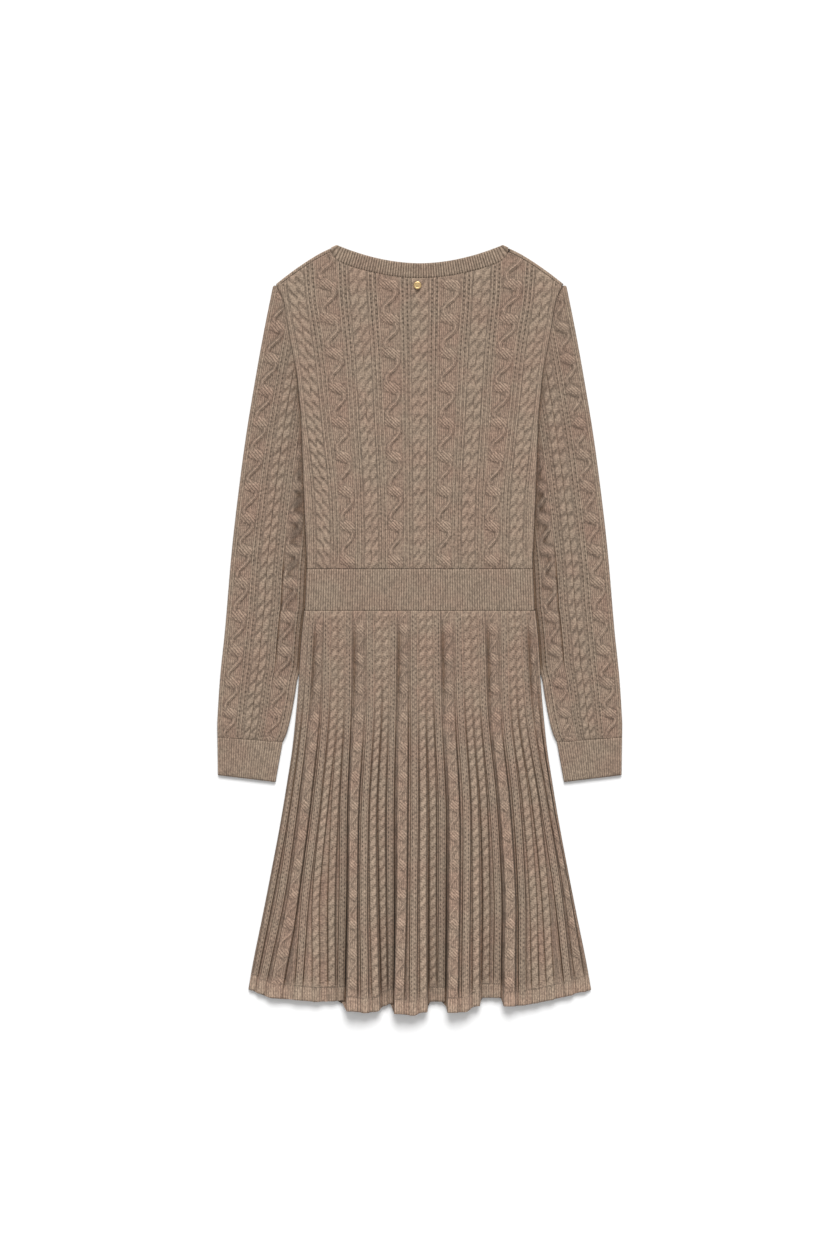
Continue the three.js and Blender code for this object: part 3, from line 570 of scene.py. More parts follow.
def at(table, key, column=1):
    """Reads a column of a table between its rows on a smooth curve, and straight on beyond its ends."""
    keys = np.array([row[0] for row in table], float)
    values = np.array([row[column] for row in table], float)
    slope = np.empty_like(values)
    slope[1:-1] = (values[2:] - values[:-2]) / (keys[2:] - keys[:-2])
    slope[0] = (values[1] - values[0]) / (keys[1] - keys[0])
    slope[-1] = (values[-1] - values[-2]) / (keys[-1] - keys[-2])
    key = np.asarray(key, float)
    row = np.clip(np.searchsorted(keys, key) - 1, 0, len(keys) - 2)
    step = keys[row + 1] - keys[row]
    t = (key - keys[row]) / step
    ease = t * t * (3 - 2 * t)
    inside = (values[row] + (values[row + 1] - values[row]) * ease
              + slope[row] * t * (1 - t) ** 2 * step + slope[row + 1] * t * t * (t - 1) * step)
    below = values[0] + slope[0] * (key - keys[0])
    above = values[-1] + slope[-1] * (key - keys[-1])
    return np.where(key < keys[0], below, np.where(key > keys[-1], above, inside))


def lerp(start, end, share):
    """From the start to the end."""
    return start + (end - start) * share


def smooth(low, high, value):
    """0 below low, 1 above high, smooth between them."""
    t = np.clip((np.asarray(value, float) - low) / (high - low), 0.0, 1.0)
    return t * t * (3 - 2 * t)


def dome(distance, half):
    """A round ridge, 1 at its middle and 0 from its half width on."""
    return np.sqrt(np.clip(1.0 - (distance / half) ** 2, 0.0, 1.0))


def rounded(inset, radius):
    """A quarter of a circle, from 0 at an edge to 1 so far inside it."""
    return dome(np.clip(radius - inset, 0, radius), radius)


def spread(top, bottom, rows):
    """Rows of Y, spread evenly from the top to the bottom of each column."""
    return top + (bottom - top) * np.linspace(0, 1, rows)[:, None]


def highest(low, high, is_inside):
    """The highest values between two bounds that are still inside, found by halving."""
    for _ in range(HALVINGS):
        middle = (low + high) / 2
        inside = is_inside(middle)
        low = np.where(inside, middle, low)
        high = np.where(inside, high, middle)
    return low


def blurred(field, passes):
    """The field, smoothed over its neighbours so many times."""
    for _ in range(passes):
        wide = np.pad(field, 1, mode="edge")
        sides = wide[:-2, 1:-1] + wide[2:, 1:-1] + wide[1:-1, :-2] + wide[1:-1, 2:]
        field = field / 2 + sides / 8
    return field


def cavity(height, fine, wide):
    """How far each point lies below the ones round it: above 0 in grooves, below 0 on crests."""
    return fine * (blurred(height, 3) - height) + wide * (blurred(height, 20) - height)


# Knit motifs, from the distance to a motif's middle and the place along it. A rope and a wave cable
# give their height and where their stitches lie across, and a ladder gives its height

def rope(distance, along, half, length, height):
    """Lobes that lean to the right as they climb, with a dip at each crossing."""
    curve = distance * 0.85 + 0.4 * np.sin(distance * pi / half)
    crossing = np.abs(np.sin(pi * (along - curve) / length)) ** 0.8
    rise = height * dome(distance, half) * (0.1 + 0.9 * crossing)
    return rise, ((along - curve) % length) / length * size("wale")


def wave_cable(distance, along, scale, length, height):
    """A fan of strands that falls to the right, half a wave further a thin strand that climbs to
    the right, and a faint strand that swings from one to the other."""
    across = distance / scale
    from_fan = (along + length / 2) % length - length / 2
    from_climb = along % length - length / 2
    fan_lay = (distance + along) * 0.58
    fan = (dome(from_fan + 0.35 * across, 6.8) * dome(across, 9.8)) ** 1.4
    fan = 0.9 * fan * (0.78 + 0.22 * np.abs(np.sin(pi * fan_lay / size("wale"))))
    climb_lay = (from_climb - across) * 0.7
    climb = 0.86 * dome(climb_lay, 2.5) * dome((from_climb + across) * 0.7, 6.6)
    swing = across + 6.5 * np.sin(2 * pi * from_fan / length)
    link = 0.62 * dome(swing, 2.6)
    rise = np.maximum.reduce([fan, climb, link])
    strand_lay = np.where(rise > climb, swing, climb_lay) + 0.5 * size("wale")
    return height * rise, np.where(rise > fan, strand_lay, fan_lay)


def ladder_band(distance, half):
    """Three thin ribs with an eyelet column between each two."""
    ribs = dome(distance, half * 0.22)
    for side in (-1, 1):
        ribs = np.maximum(ribs, dome(distance - side * half * 0.92, half * 0.24))
    return 0.75 * ribs


def pattern(place, along, repeat, wave_length, rope_length, turned=None):
    """Ropes, ladders and wave cables across a panel, from a place counted in repeats.

    The ropes at the turned place lean the other way. Returns the height, the stitches' place
    across, the distance from the middle of the nearest ladder, and whether it is on one."""
    nearest = place - np.round(place)
    across = nearest * repeat
    height = np.zeros_like(across)
    stitch = across.copy()
    lean = 1.0 if turned is None else np.where(np.round(place) == turned, -1.0, 1.0)
    for side in (-1, 1):
        distance = (across - side * ROPE_AT * repeat) * lean
        rise, lay = rope(distance, along, ROPE_HALF * repeat, rope_length, size("rope_height"))
        stitch = np.where(rise > height, lay, stitch)
        height = np.maximum(height, rise)
    band = np.abs(across) - LADDER_AT * repeat
    ribs = ladder_band(band, LADDER_HALF * repeat)
    height = np.maximum(height, ribs * (np.abs(band) < LADDER_REACH * repeat))
    distance = across - np.sign(across) * 0.5 * repeat
    distance = np.where(across == 0, repeat, distance)
    wide = np.abs(distance) < WAVE_HALF * repeat
    rise, lay = wave_cable(
        distance, along, repeat / WAVE_REPEAT, wave_length, size("wave_height"))
    stitch = np.where(wide & (rise > height), lay, stitch)
    height = np.where(wide, np.maximum(height, rise), height)
    return height, stitch, band, np.abs(band) < LADDER_OPEN * repeat


def relief_shade(height, band, repeat, rope_tone):
    """Painted shade from the relief: grooves most, crests a little lighter, and ropes by their tone."""
    groove_shade = np.clip(cavity(height, 0.68, 0.13), -0.12, 0.46)
    ropes = 1 - smooth(-0.125, -0.1, band / repeat)
    return groove_shade + (0.05 + rope_tone * ropes) * smooth(0.2, 0.9, height)


# Meshes

def grid_quads(rows, columns, first=0, wrap_rows=False, wrap_columns=False):
    """Faces of a grid of points numbered row by row."""
    row = np.arange(rows if wrap_rows else rows - 1)[:, None]
    column = np.arange(columns if wrap_columns else columns - 1)[None, :]
    next_row = (row + 1) % rows
    next_column = (column + 1) % columns
    corners = [row * columns + column, next_row * columns + column,
               next_row * columns + next_column, row * columns + next_column]
    return first + np.stack([np.broadcast_to(c, np.broadcast_shapes(row.shape, column.shape))
                             for c in corners], -1).reshape(-1, 4)


def zip_chains(first, second):
    """Triangles between two chains of points, each spread evenly from end to end."""
    first_share = np.append(np.linspace(0, 1, len(first)), np.inf)
    second_share = np.append(np.linspace(0, 1, len(second)), np.inf)
    triangles = []
    i, j = 0, 0
    while i < len(first) - 1 or j < len(second) - 1:
        if first_share[i + 1] < second_share[j + 1]:
            triangles.append((first[i], first[i + 1], second[j]))
            i += 1
        else:
            triangles.append((first[i], second[j + 1], second[j]))
            j += 1
    return triangles


def enclosed(points, faces):
    """Six times the volume inside the faces, below 0 where they face inward."""
    corners = [points[faces[:, k]] for k in range(faces.shape[1])]
    return sum((corners[0] * np.cross(corners[k], corners[k + 1])).sum()
               for k in range(1, len(corners) - 1))


def make_piece(name, points, quads, triangles, fields, slot, nodes):
    """Builds the mesh of a piece, with its fields as attributes, and seats it in the frame."""
    points = np.asarray(points, np.float64) * MM
    triangles = np.asarray(triangles, int).reshape(-1, 3)
    if enclosed(points, quads) + enclosed(points, triangles) < 0:
        quads = quads[:, ::-1]
        triangles = triangles[:, ::-1]
    corners = np.concatenate([quads.ravel(), triangles.ravel()]).astype(np.int32)
    sizes = np.concatenate([np.full(len(quads), 4), np.full(len(triangles), 3)]).astype(np.int32)
    starts = (np.cumsum(sizes) - sizes).astype(np.int32)
    mesh = bpy.data.meshes.new(name)
    mesh.vertices.add(len(points))
    mesh.vertices.foreach_set("co", points.astype(np.float32).ravel())
    mesh.loops.add(len(corners))
    mesh.loops.foreach_set("vertex_index", corners)
    mesh.polygons.add(len(sizes))
    mesh.polygons.foreach_set("loop_start", starts)
    mesh.polygons.foreach_set("loop_total", sizes)
    mesh.update(calc_edges=True)
    for label, values in fields.items():
        layer = mesh.attributes.new(label, "FLOAT_VECTOR", "POINT")
        layer.data.foreach_set("vector", np.asarray(values, np.float32).ravel())
    mesh.validate()
    mesh.shade_smooth()
    mesh.materials.append(material_for(slot))
    piece = bpy.data.objects.new(name, mesh)
    bpy.context.scene.collection.objects.link(piece)
    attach(piece, "root")
    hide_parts(*nodes)
    return piece


def panel_piece(name, upper, lower, knit, motif_and_shade, nodes):
    """A closed panel of cable knit from the grid of its upper face and a coarser one of its
    underside.

    Rows run from the neck to the hem and columns from left to right."""
    rows, columns = upper.shape[:2]
    low_rows, low_columns = lower.shape[:2]
    first = rows * columns
    top = np.arange(first).reshape(rows, columns)
    under = first + np.arange(low_rows * low_columns).reshape(low_rows, low_columns)
    quads = np.concatenate([
        grid_quads(rows, columns),
        grid_quads(low_rows, low_columns, first)[:, ::-1],
    ])
    triangles = [
        *zip_chains(under[:, 0], top[:, 0]),
        *zip_chains(top[:, -1], under[:, -1]),
        *zip_chains(top[0], under[0]),
        *zip_chains(under[-1], top[-1]),
    ]
    lower = lower.reshape(-1, 3)
    # The motif's third number is painted shade; the underside gets none
    fields = {
        "knit": np.concatenate([knit.reshape(-1, 3), lower * (1, 1, 0)]),
        "motif_and_shade": np.concatenate([motif_and_shade.reshape(-1, 3), np.zeros_like(lower)]),
    }
    points = np.concatenate([upper.reshape(-1, 3), lower])
    return make_piece(name, points, quads, triangles, fields, "cable_knit", nodes)


def ring_piece(name, points, knit, motif_and_shade, slot, nodes):
    """A closed ring: rows go round the piece, and columns round the section of its wall.

    Columns beyond those of the knit are the inside of the wall."""
    rows, columns = points.shape[:2]
    inside = np.zeros((rows, columns - knit.shape[1], 3))
    # The inside has no relief and no painted shade
    fields = {label: np.concatenate([values, inside], 1)
              for label, values in (("knit", knit), ("motif_and_shade", motif_and_shade))}
    quads = grid_quads(rows, columns, 0, True, True)
    return make_piece(name, points.reshape(-1, 3), quads, [], fields, slot, nodes)


def stacked(*values):
    """The values side by side, as points or vectors of a grid."""
    return np.stack(np.broadcast_arrays(*values), -1)


def raised(plan, z):
    """Points at a height over the X and Y of a plan."""
    return np.concatenate([plan, np.broadcast_to(z, plan.shape[:-1])[..., None]], -1)


# Bodice

def neck_edge(x, drop):
    """Y of the neckline at an X, with a further drop in its middle."""
    share = np.abs(x) / NECK_HALF
    return NECK_BOTTOM - drop + NECK_RISE * share ** 1.9 + drop * share ** 2


def band_edges(share, table, drop):
    """Upper edge, lower edge and the way down between them, at a share from -1 to 1."""
    away = np.abs(share)
    width = at(table, away, 1)
    lean = np.radians(at(table, away, 2)) * np.sign(share)
    top = np.stack([NECK_HALF * share, neck_edge(NECK_HALF * share, drop)], -1)
    way = np.stack([np.sin(lean), -np.cos(lean)], -1)
    return top, top + width[..., None] * way, way


def panel_top(x, table, drop, lip):
    """Y where a bodice panel ends above an X: at the neckband, or at the shoulder."""
    _, low, _ = band_edges(np.linspace(0, 1, 120), table, drop)
    away = np.abs(x)
    at_band = np.interp(away, low[:, 0], low[:, 1])
    at_shoulder = at(SHOULDER, away) - lip
    return np.where(away < low[-1, 0] + SEAM_GAP, at_band, at_shoulder)


def column_tops(share, edge, table, drop, lip):
    """Y of the top end of each column that stays at one share of the panel's half width."""
    def is_inside(y):
        """Whether the columns are on the panel at these Y."""
        return y < panel_top(share * edge(y), table, drop, lip)

    low = np.full_like(share, WAIST_TOP + 80)
    return highest(low, np.full_like(share, NECK_BOTTOM + NECK_RISE), is_inside)


def bodice_edge(y):
    """Half width of the bodice back."""
    return at(BODICE_EDGE, np.minimum(y, 401.0))


def front_edge(y):
    """Half width of the bodice front, which stays inside the back."""
    return np.minimum(bodice_edge(y), SHOULDER_TIP) - 1.0


def armhole_depth(y):
    """0 at the armhole seam, 1 where the body lies over the sleeve."""
    return 1 - smooth(*ARMHOLE, y)


def bodice_back():
    """The back of the bodice, with its cables and a pressed place round the stud."""
    rows, columns, low_rows, skip = BACK_GRID
    share = np.linspace(-1, 1, columns)
    top = column_tops(share, bodice_edge, BACK_BAND, 0, SHOULDER_LIP + 0.1)
    y = spread(top, WAIST_TOP, rows)
    half = bodice_edge(y)
    x = share * half
    repeat = at(REPEAT, y)
    height, stitch, band, on_ladder = pattern(
        x / repeat, y, repeat, size("wave_length"), size("rope_length"), TURNED_REPEAT)

    # A plain edge, and calmer cables near the seams and round the stud
    inset = half - np.abs(x)
    plain = smooth(5.5, 8.5, inset)
    height = height * plain + 0.4 * dome(inset - 3.6, 2.4)
    height *= lerp(0.35, 1.0, smooth(0.0, 6.0, np.minimum(y - WAIST_TOP, top - y)))
    pressed_top = 0.15 * (1 - smooth(0.0, 2.2, top - y))
    press = np.maximum(pressed_top, 0.8 * (1 - smooth(0.0, 2.0, y - WAIST_TOP)))
    stud = np.hypot(x - STUD_X, y - STUD_Y)
    calm = np.minimum(height, lerp(0.9, height, smooth(4.0, 7.0, stud)))
    height = np.where(stud < 7.0, calm, height)

    turn = lerp(0.5, 1.5, armhole_depth(y)) * (1.0 - rounded(inset, 2.2))
    upper = stacked(x, y, FACE + height - turn - 0.55 * press)
    opened = on_ladder * plain * lerp(0.25, 0.6, smooth(230.0, 400.0, y))
    # Painted shade in the pressed seams and from the relief
    shade = 0.15 * press + relief_shade(height, band, repeat, 0.09)
    low_y = spread(top[::skip], WAIST_TOP, low_rows)
    lower = stacked(share[::skip] * (bodice_edge(low_y) - 0.5), low_y, UPPER)
    piece = panel_piece("bodice_back_knit", upper, lower, stacked(stitch, y, height),
                        stacked(band, opened, shade), ["bodice_back"])


def bodice_front():
    """The front of the bodice, flat under the back, with its strip turned up over the shoulder."""
    rows, columns, low_rows, skip = FRONT_GRID
    share = np.linspace(-1, 1, columns)
    lip_from = band_edges(np.array([1.0]), BACK_BAND, 0)[1][0, 0] + 2.0
    top = column_tops(share, front_edge, FRONT_BAND, FRONT_NECK_DROP, 0.0)
    bottom = WAIST_TOP + SEAM_GAP
    over = np.abs(share * front_edge(top)) > lip_from
    lip_y = top - np.array(LIP_DEPTHS)[:, None]
    below = spread(lip_y[-1], bottom, rows)[1:]
    y = np.concatenate([lip_y, below])
    rise = np.concatenate([np.array(LIP_HEIGHTS)[:, None] * over, np.zeros_like(below)])
    x = share * front_edge(y)
    upper = stacked(x, y, WALL + (FACE - WALL) * rise)
    low_y = spread(top[::skip], bottom, low_rows)
    lower = stacked(share[::skip] * front_edge(low_y), low_y, 0.0)
    piece = panel_piece("bodice_front_knit", upper, lower, stacked(x, top - y, rise * 1.2),
                        np.zeros_like(upper), ["bodice_front"])


# Sleeves

def body_edge(y):
    """Half width of the body: bodice, waistband or skirt."""
    down = (y - WAIST_BOTTOM) / (WAIST_TOP - WAIST_BOTTOM)
    waist = lerp(WAIST_HALF_BOTTOM, WAIST_HALF_TOP, down)
    below = np.where(y > WAIST_BOTTOM, waist, skirt_edge(y))
    return np.where(y > WAIST_TOP, bodice_edge(y), below)


def under_body(y):
    """1 where the sleeve goes under the body, 0 where its inner side is free."""
    return smooth(*UNDER_BODY, y)


def sleeve_inner(y):
    """X of the sleeve's inner side, which is just under the body's edge or free."""
    free = at(SLEEVE_INNER, np.minimum(y, SLEEVE_INNER[-1][0]))
    return lerp(free, body_edge(y) - 1.4, under_body(y))


def sleeve_outer(y):
    """X of the sleeve's outer side."""
    return at(SLEEVE_OUTER, y)


def sleeve_piece(side):
    """One sleeve: a flattened tube, from the armhole to the cuff seam."""
    # Round the tube: over the top from its outer side, and back under it
    full = float(sleeve_outer(WAIST_TOP) - sleeve_inner(WAIST_TOP))
    over, round_side, below = SLEEVE_COLUMNS
    fine = np.concatenate([np.linspace(0, 2, round_side)[:-1], np.linspace(2, full - 2, over),
                           np.linspace(full - 2, full, round_side)[1:]])
    width = np.concatenate([fine, np.linspace(full, 0, below)[1:-1]])
    is_top = (np.arange(len(width)) < len(fine))[:, None]

    def is_inside(y):
        """Whether the columns are on the sleeve at these Y."""
        reach = sleeve_outer(y) - width
        return (reach > sleeve_inner(y)) & (y < at(SHOULDER, reach) + 0.3)

    # Down the sleeve: from the armhole to the cuff seam
    start = highest(np.full_like(width, WAIST_TOP), np.full_like(width, SLEEVE_TOP), is_inside)
    fit_end = (sleeve_outer(CUFF_SEAM) - sleeve_inner(CUFF_SEAM)) / full
    end_x = sleeve_outer(CUFF_SEAM) - width * fit_end
    seam_share = (CUFF_OUTER[0] - end_x) / (CUFF_OUTER[0] - CUFF_INNER[0])
    end = lerp(CUFF_OUTER[1], CUFF_INNER[1], seam_share)[:, None]
    start = start[:, None]
    width = width[:, None]
    rows, inner_rows = SLEEVE_ROWS
    y = lerp(start, end, np.linspace(0, 1, rows)[None, :])
    fit = np.where(y > WAIST_TOP, 1.0, (sleeve_outer(y) - sleeve_inner(y)) / full)
    x = sleeve_outer(y) - width * fit

    # Cables, whose waves are shorter near the cuff
    place = (width - SLEEVE_ROPE_AT) / SLEEVE_REPEAT
    period = lerp(*SLEEVE_WAVES, smooth(*SLEEVE_CHANGE, y))
    phase = (y + 130.0) * SLEEVE_WAVE / period
    repeat = np.full_like(y, SLEEVE_REPEAT)
    height, stitch, band, on_ladder = pattern(
        place * -side, phase, repeat, SLEEVE_WAVE, SLEEVE_CROSSING)
    inner_gap = np.clip(x - sleeve_inner(y), 0.0, None)
    outer_gap = width * fit
    from_cuff = y - end
    plain = smooth(2.0, 5.0, outer_gap) * smooth(2.5, 6.0, inner_gap)
    height = height * plain * is_top * lerp(0.4, 1.0, smooth(0.0, 6.0, from_cuff))

    # Form: round sides, lower under the body's edge, and a puff above the cuff
    under = under_body(y)
    body_gap = np.clip(x - body_edge(y), 0.0, None)
    deep = armhole_depth(y)
    dip = lerp(lerp(FACE - 0.9, 1.7, deep), FACE, smooth(0.0, 9.0, body_gap))
    inner_z = lerp(MID + MID * rounded(inner_gap, 2.0), np.minimum(dip, FACE), under)
    outer_z = MID + MID * rounded(outer_gap, 2.0)
    puff = 0.9 * np.exp(-((from_cuff - 14.0) / 12.0) ** 2)
    press = 0.35 * (1 - smooth(0.0, 2.0, from_cuff))
    settle = 0.8 * (1.0 - smooth(0.0, 8.0, np.clip(start - y, 0.0, None)))
    shown = height * smooth(0.0, 5.0, body_gap + 40 * (1 - under))
    top_z = np.minimum(inner_z, outer_z) + shown + puff - press - settle
    under_z = np.where(np.minimum(inner_gap, outer_gap) < 1.5, 0.5, 0.0)
    outside = stacked(x * side, y, np.where(is_top, np.maximum(top_z, 1.2), under_z))

    # The inside: two layers that lie close together
    toward = sleeve_outer(y) - 0.5 * full * fit - x
    inner_x = x + np.sign(toward) * np.minimum(1.6, np.abs(toward) * 0.5)
    back = np.linspace(rows - 1, 0, inner_rows).astype(int)
    inside = stacked(side * inner_x, y, np.where(is_top, 1.35, 0.85))[:, back]

    # Painted shade: a painted shadow beside the body's edge, painted shade in a crease down the upper
    # arm and in the relief, and a slightly darker tone over all
    opened = on_ladder * plain * 0.45 * is_top
    near = np.exp(-body_gap / lerp(3.0, 5.5, 1 - smooth(-40.0, 260.0, y)))
    contact_shadow = under * near * lerp(0.08, 0.62, deep * lerp(1.0, 0.75, smooth(0.0, 250.0, y)))
    crease_shade = 0.5 * np.exp(-((band - 0.1 * SLEEVE_REPEAT) / 1.1) ** 2) * (place > 0) * (place < 0.5)
    crease_shade = crease_shade * smooth(-60.0, -20.0, y) * (1 - smooth(60.0, 110.0, y))
    shade = contact_shadow + crease_shade + relief_shade(height, band, repeat, 0.1) + 0.03
    name = "sleeve_left" if side < 0 else "sleeve_right"
    piece = ring_piece(name + "_knit", np.concatenate([outside, inside], 1),
                       stacked(stitch, phase, height), stacked(band, opened, shade * is_top),
                       "cable_knit", [name])


# Rib bands

def rib_ridge(across):
    """1 on the knit columns of the rib, 0 in the grooves between them."""
    return 0.5 + 0.5 * np.cos(2 * pi * across / size("rib_pitch"))


def rib_stitch(across):
    """Where the stitches of the rib lie across: one column of them on each knit column."""
    return (across / size("rib_pitch") + 0.5) * size("wale")


def wall_ring(name, start, end, steps, rib_share, pressed, nodes):
    """A flattened rib tube between two cross lines, each given by its left and its right end.

    Its two ends are pressed down by so much."""
    (left, right), (end_left, end_right) = np.array(start, float), np.array(end, float)
    length = float(np.hypot(*(right - left)))

    # Round the tube: over the top, round the right fold, under it and round the left fold
    over = np.arange(1.2, length - 1.2, TUBE_STEP)
    under = np.linspace(length - TUBE_FOLD, TUBE_FOLD, TUBE_UNDER)
    fold = np.linspace(0, pi, FOLD_STEPS)[1:-1]
    bulge = TUBE_FOLD * np.sin(fold)
    across = np.concatenate([over, length - TUBE_FOLD + bulge, under, TUBE_FOLD - bulge])
    z = np.concatenate([np.full(len(over), FACE), MID + MID * np.cos(fold),
                        np.zeros(len(under)), MID - MID * np.cos(fold)])
    is_top = (np.arange(len(across)) < len(over))[:, None]
    ridge = rib_ridge(across - length / 2)[:, None]
    rise = size("rib_height") * rib_share * ridge * is_top

    # Down the tube
    down = np.linspace(0, 1, steps)
    press = (pressed[0] * (1 - smooth(0.0, 0.07, down))
             + pressed[1] * (1 - smooth(0.0, 0.07, 1 - down)))
    share = (across / length)[:, None]
    begin = lerp(left, right, share)[:, None]
    plane = lerp(begin, lerp(end_left, end_right, share)[:, None], down[:, None])
    outside = raised(plane, z[:, None] + rise * (1 - press) - press * is_top)

    # The inside: moved in from the folds
    back = np.linspace(steps - 1, 0, 4).astype(int)
    toward = length / 2 - across
    toward = np.sign(toward) * np.minimum(1.5, np.abs(toward) * 0.5)
    moved = plane[:, back] + (toward[:, None] * (right - left) / length)[:, None]
    inside = raised(moved, np.where(z > MID, UPPER, WALL)[:, None])

    along = -down * float(np.hypot(*(end_left - left)))
    # The ribs' relief lightens the yarn a little, as painted light on them; painted shade lies in the
    # grooves between them and on the pressed ends, over a slightly darker tone, more on the cuffs
    knit = stacked(rib_stitch(across - length / 2)[:, None], along, rise * 1.6)
    groove = 0.12 * (1 - ridge) * is_top * rib_share + 0.15 * press + 0.05 + 0.08 * (1 - rib_share)
    piece = ring_piece(name, np.concatenate([outside, inside], 1), knit,
                       stacked(-PLAIN_SIDE, 0.0, groove), "fine_rib", nodes)


def band_section(top, low, out, rib=0.0):
    """Points round the wall's section: down its outside from the top edge, and back up inside."""
    cross = np.linspace(0, 1, 9)[:, None]
    edge = 1 - 0.45 * np.maximum(0, np.abs(cross - 0.5) * 2 - 0.7) / 0.3
    face = lerp(top[:, None], low[:, None], cross)
    outer = face + out[:, None] * (WALL / 2 * edge + np.reshape(rib, (-1, 1, 1)))
    inner = face[:, ::-2] - out[:, None] * (WALL / 2 * 0.9)
    return np.concatenate([outer, inner], 1)


def neckband_piece():
    """The rib ring of the neck: over the back, round the shoulders and under the front."""
    upper_mid, lower_mid = UPPER + WALL / 2, WALL / 2
    end_top, end_low, end_way = band_edges(np.array([1.0]), BACK_BAND, 0)
    side_out = np.array([-end_way[0, 1], end_way[0, 0]])

    def fold(side, angles):
        """The sections round a shoulder, where the ring turns from one layer to the other."""
        way = side_out * (side, 1) * (0.35 * np.sin(angles))[:, None]
        out = raised(way, np.cos(angles))
        reach = out * (upper_mid - lower_mid) / 2
        middle = (upper_mid + lower_mid) / 2
        top, low = (raised(end[0] * (side, 1), middle) + reach for end in (end_top, end_low))
        return band_section(top, low, out)

    back_share = np.linspace(-1, 1, NECK_STEPS[0])
    front_share = np.linspace(1, -1, NECK_STEPS[1])
    turns = np.linspace(0, pi, FOLD_STEPS)[1:-1]
    ridge = rib_ridge(NECK_HALF * back_share)
    rib = size("rib_height") * ridge
    up = np.tile([0.0, 0.0, 1.0], (len(back_share), 1))
    below = np.tile([0.0, 0.0, -1.0], (len(front_share), 1))
    back_top, back_low, _ = band_edges(back_share, BACK_BAND, 0)
    front_top, front_low, _ = band_edges(front_share, FRONT_BAND, FRONT_NECK_DROP)
    points = np.concatenate([
        band_section(raised(back_top, upper_mid), raised(back_low, upper_mid), up, rib),
        fold(1, turns),
        band_section(raised(front_top, lower_mid), raised(front_low, lower_mid), below),
        fold(-1, turns[::-1]),
    ])

    arc = NECK_HALF * np.concatenate([
        back_share, np.ones(len(turns)), front_share, -np.ones(len(turns))])
    cross = np.concatenate([np.linspace(0, 17, 9), np.linspace(17, 0, 5)])
    plain = np.zeros(len(points) - len(rib))
    # The ribs' relief lightens the yarn a little, as painted light on them, and painted shade lies in
    # the grooves between them
    relief = np.concatenate([rib, plain])[:, None] * 1.8
    groove = np.concatenate([0.3 * (1 - ridge), plain])[:, None]
    piece = ring_piece("neckband_rib", points, stacked(rib_stitch(arc)[:, None], -cross, relief),
                       stacked(-PLAIN_SIDE, 0 * cross, groove), "fine_rib", ["neckband"])


# Skirt

def skirt_edge(y):
    """Half width of the skirt."""
    return at(SKIRT_EDGE, y)


def rib_line(number, y):
    """X of the crown of a rib, counted from 1, or of the left (0) or right (last) side."""
    if number == 0:
        return -skirt_edge(y)
    if number > len(SKIRT_RIBS):
        return skirt_edge(y)
    rib = SKIRT_RIBS[number - 1]
    return at(tuple(zip(STATIONS[::-1], rib[5:0:-1])), y)


def skirt_columns(crown_steps):
    """Columns of the skirt's grid: the number of the gap between two crowns that each lies in, and
    how much of the left rib's half, of the valley and of the right rib's half is passed there."""
    columns = []
    last = len(KINDS) - 2
    for gap in range(last + 1):
        columns += [(gap, step, 0.0, 0.0) for step in crown_steps[KINDS[gap]]]
        columns += [(gap, 1.0, step, 0.0) for step in VALLEY_STEPS]
        columns += [(gap, 1.0, 1.0, 1.0 - step) for step in crown_steps[KINDS[gap + 1]][:0:-1]]
    columns.append((last, 1.0, 1.0, 1.0))
    return np.array(columns).T


def fold_share(y):
    """How much of a rib's lift at the hem it has at a Y."""
    return np.clip((LIFT_START - y) / (LIFT_START - HEM_CORNER), 0, 1) ** LIFT_CURVE


def skirt_grid(rows, crown_steps, narrower=0.0):
    """A grid of the skirt whose columns follow the ribs, as a dictionary of its fields."""
    gap, over_left, over_valley, over_right = skirt_columns(crown_steps)
    gap = gap.astype(int)
    hems = np.array([HEM_CORNER] + [rib[7] for rib in SKIRT_RIBS] + [HEM_CORNER], float)
    lifts = np.array([0.0] + [rib[6] for rib in SKIRT_RIBS] + [0.0])
    halves = np.array([RIB_HALF[kind] for kind in KINDS])
    gentle = np.abs(hems[gap + 1] - hems[gap]) < GENTLE_STEP
    over_gap = np.where(gentle, (over_left + over_valley + over_right) / 3, over_valley)
    hem = lerp(hems[gap], hems[gap + 1], smooth(0, 1, over_gap))
    top = WAIST_BOTTOM + SEAM_GAP / 2
    y = spread(top, hem, rows)
    x0 = np.stack([rib_line(number, y[:, k]) for k, number in enumerate(gap)], 1)
    x1 = np.stack([rib_line(number + 1, y[:, k]) for k, number in enumerate(gap)], 1)
    space = np.maximum(x1 - x0, 0.5)
    half0 = np.minimum(halves[gap], RIB_SHARE * space)
    half1 = np.minimum(halves[gap + 1], RIB_SHARE * space)
    floor = space - half0 - half1
    x = x0 + over_left * half0 + over_valley * floor + over_right * half1
    from_left = x - x0 - half0
    from_right = x1 - half1 - x
    wall = np.clip(0.45 * floor, 0.5, 2.6)
    leave = smooth(0, 1, from_left / wall)
    arrive = 1 - smooth(0, 1, from_right / wall)
    low = np.minimum(lifts[gap], lifts[gap + 1])
    lift = lifts[gap] * (1 - leave) + lifts[gap + 1] * arrive + low * leave * (1 - arrive)
    is_left = np.broadcast_to(over_valley < 0.5, x.shape)
    number = np.where(is_left, gap, gap + 1)
    return {
        "x": x * (1 - narrower / skirt_edge(y)), "y": y, "hem": hem, "gap": gap, "number": number,
        "distance": x - np.where(is_left, x0, x1), "half": np.where(is_left, half0, half1),
        "from_left": from_left, "from_right": from_right,
        "lifted": lift * fold_share(y), "step": np.abs(lifts[gap] - lifts[gap + 1]),
    }


def foot_line(outside, width):
    """1 at the foot of a rib, falling off slowly into the valley and fast up the rib."""
    return np.exp(-(outside / np.where(outside > 0, width, 0.7)) ** 2)


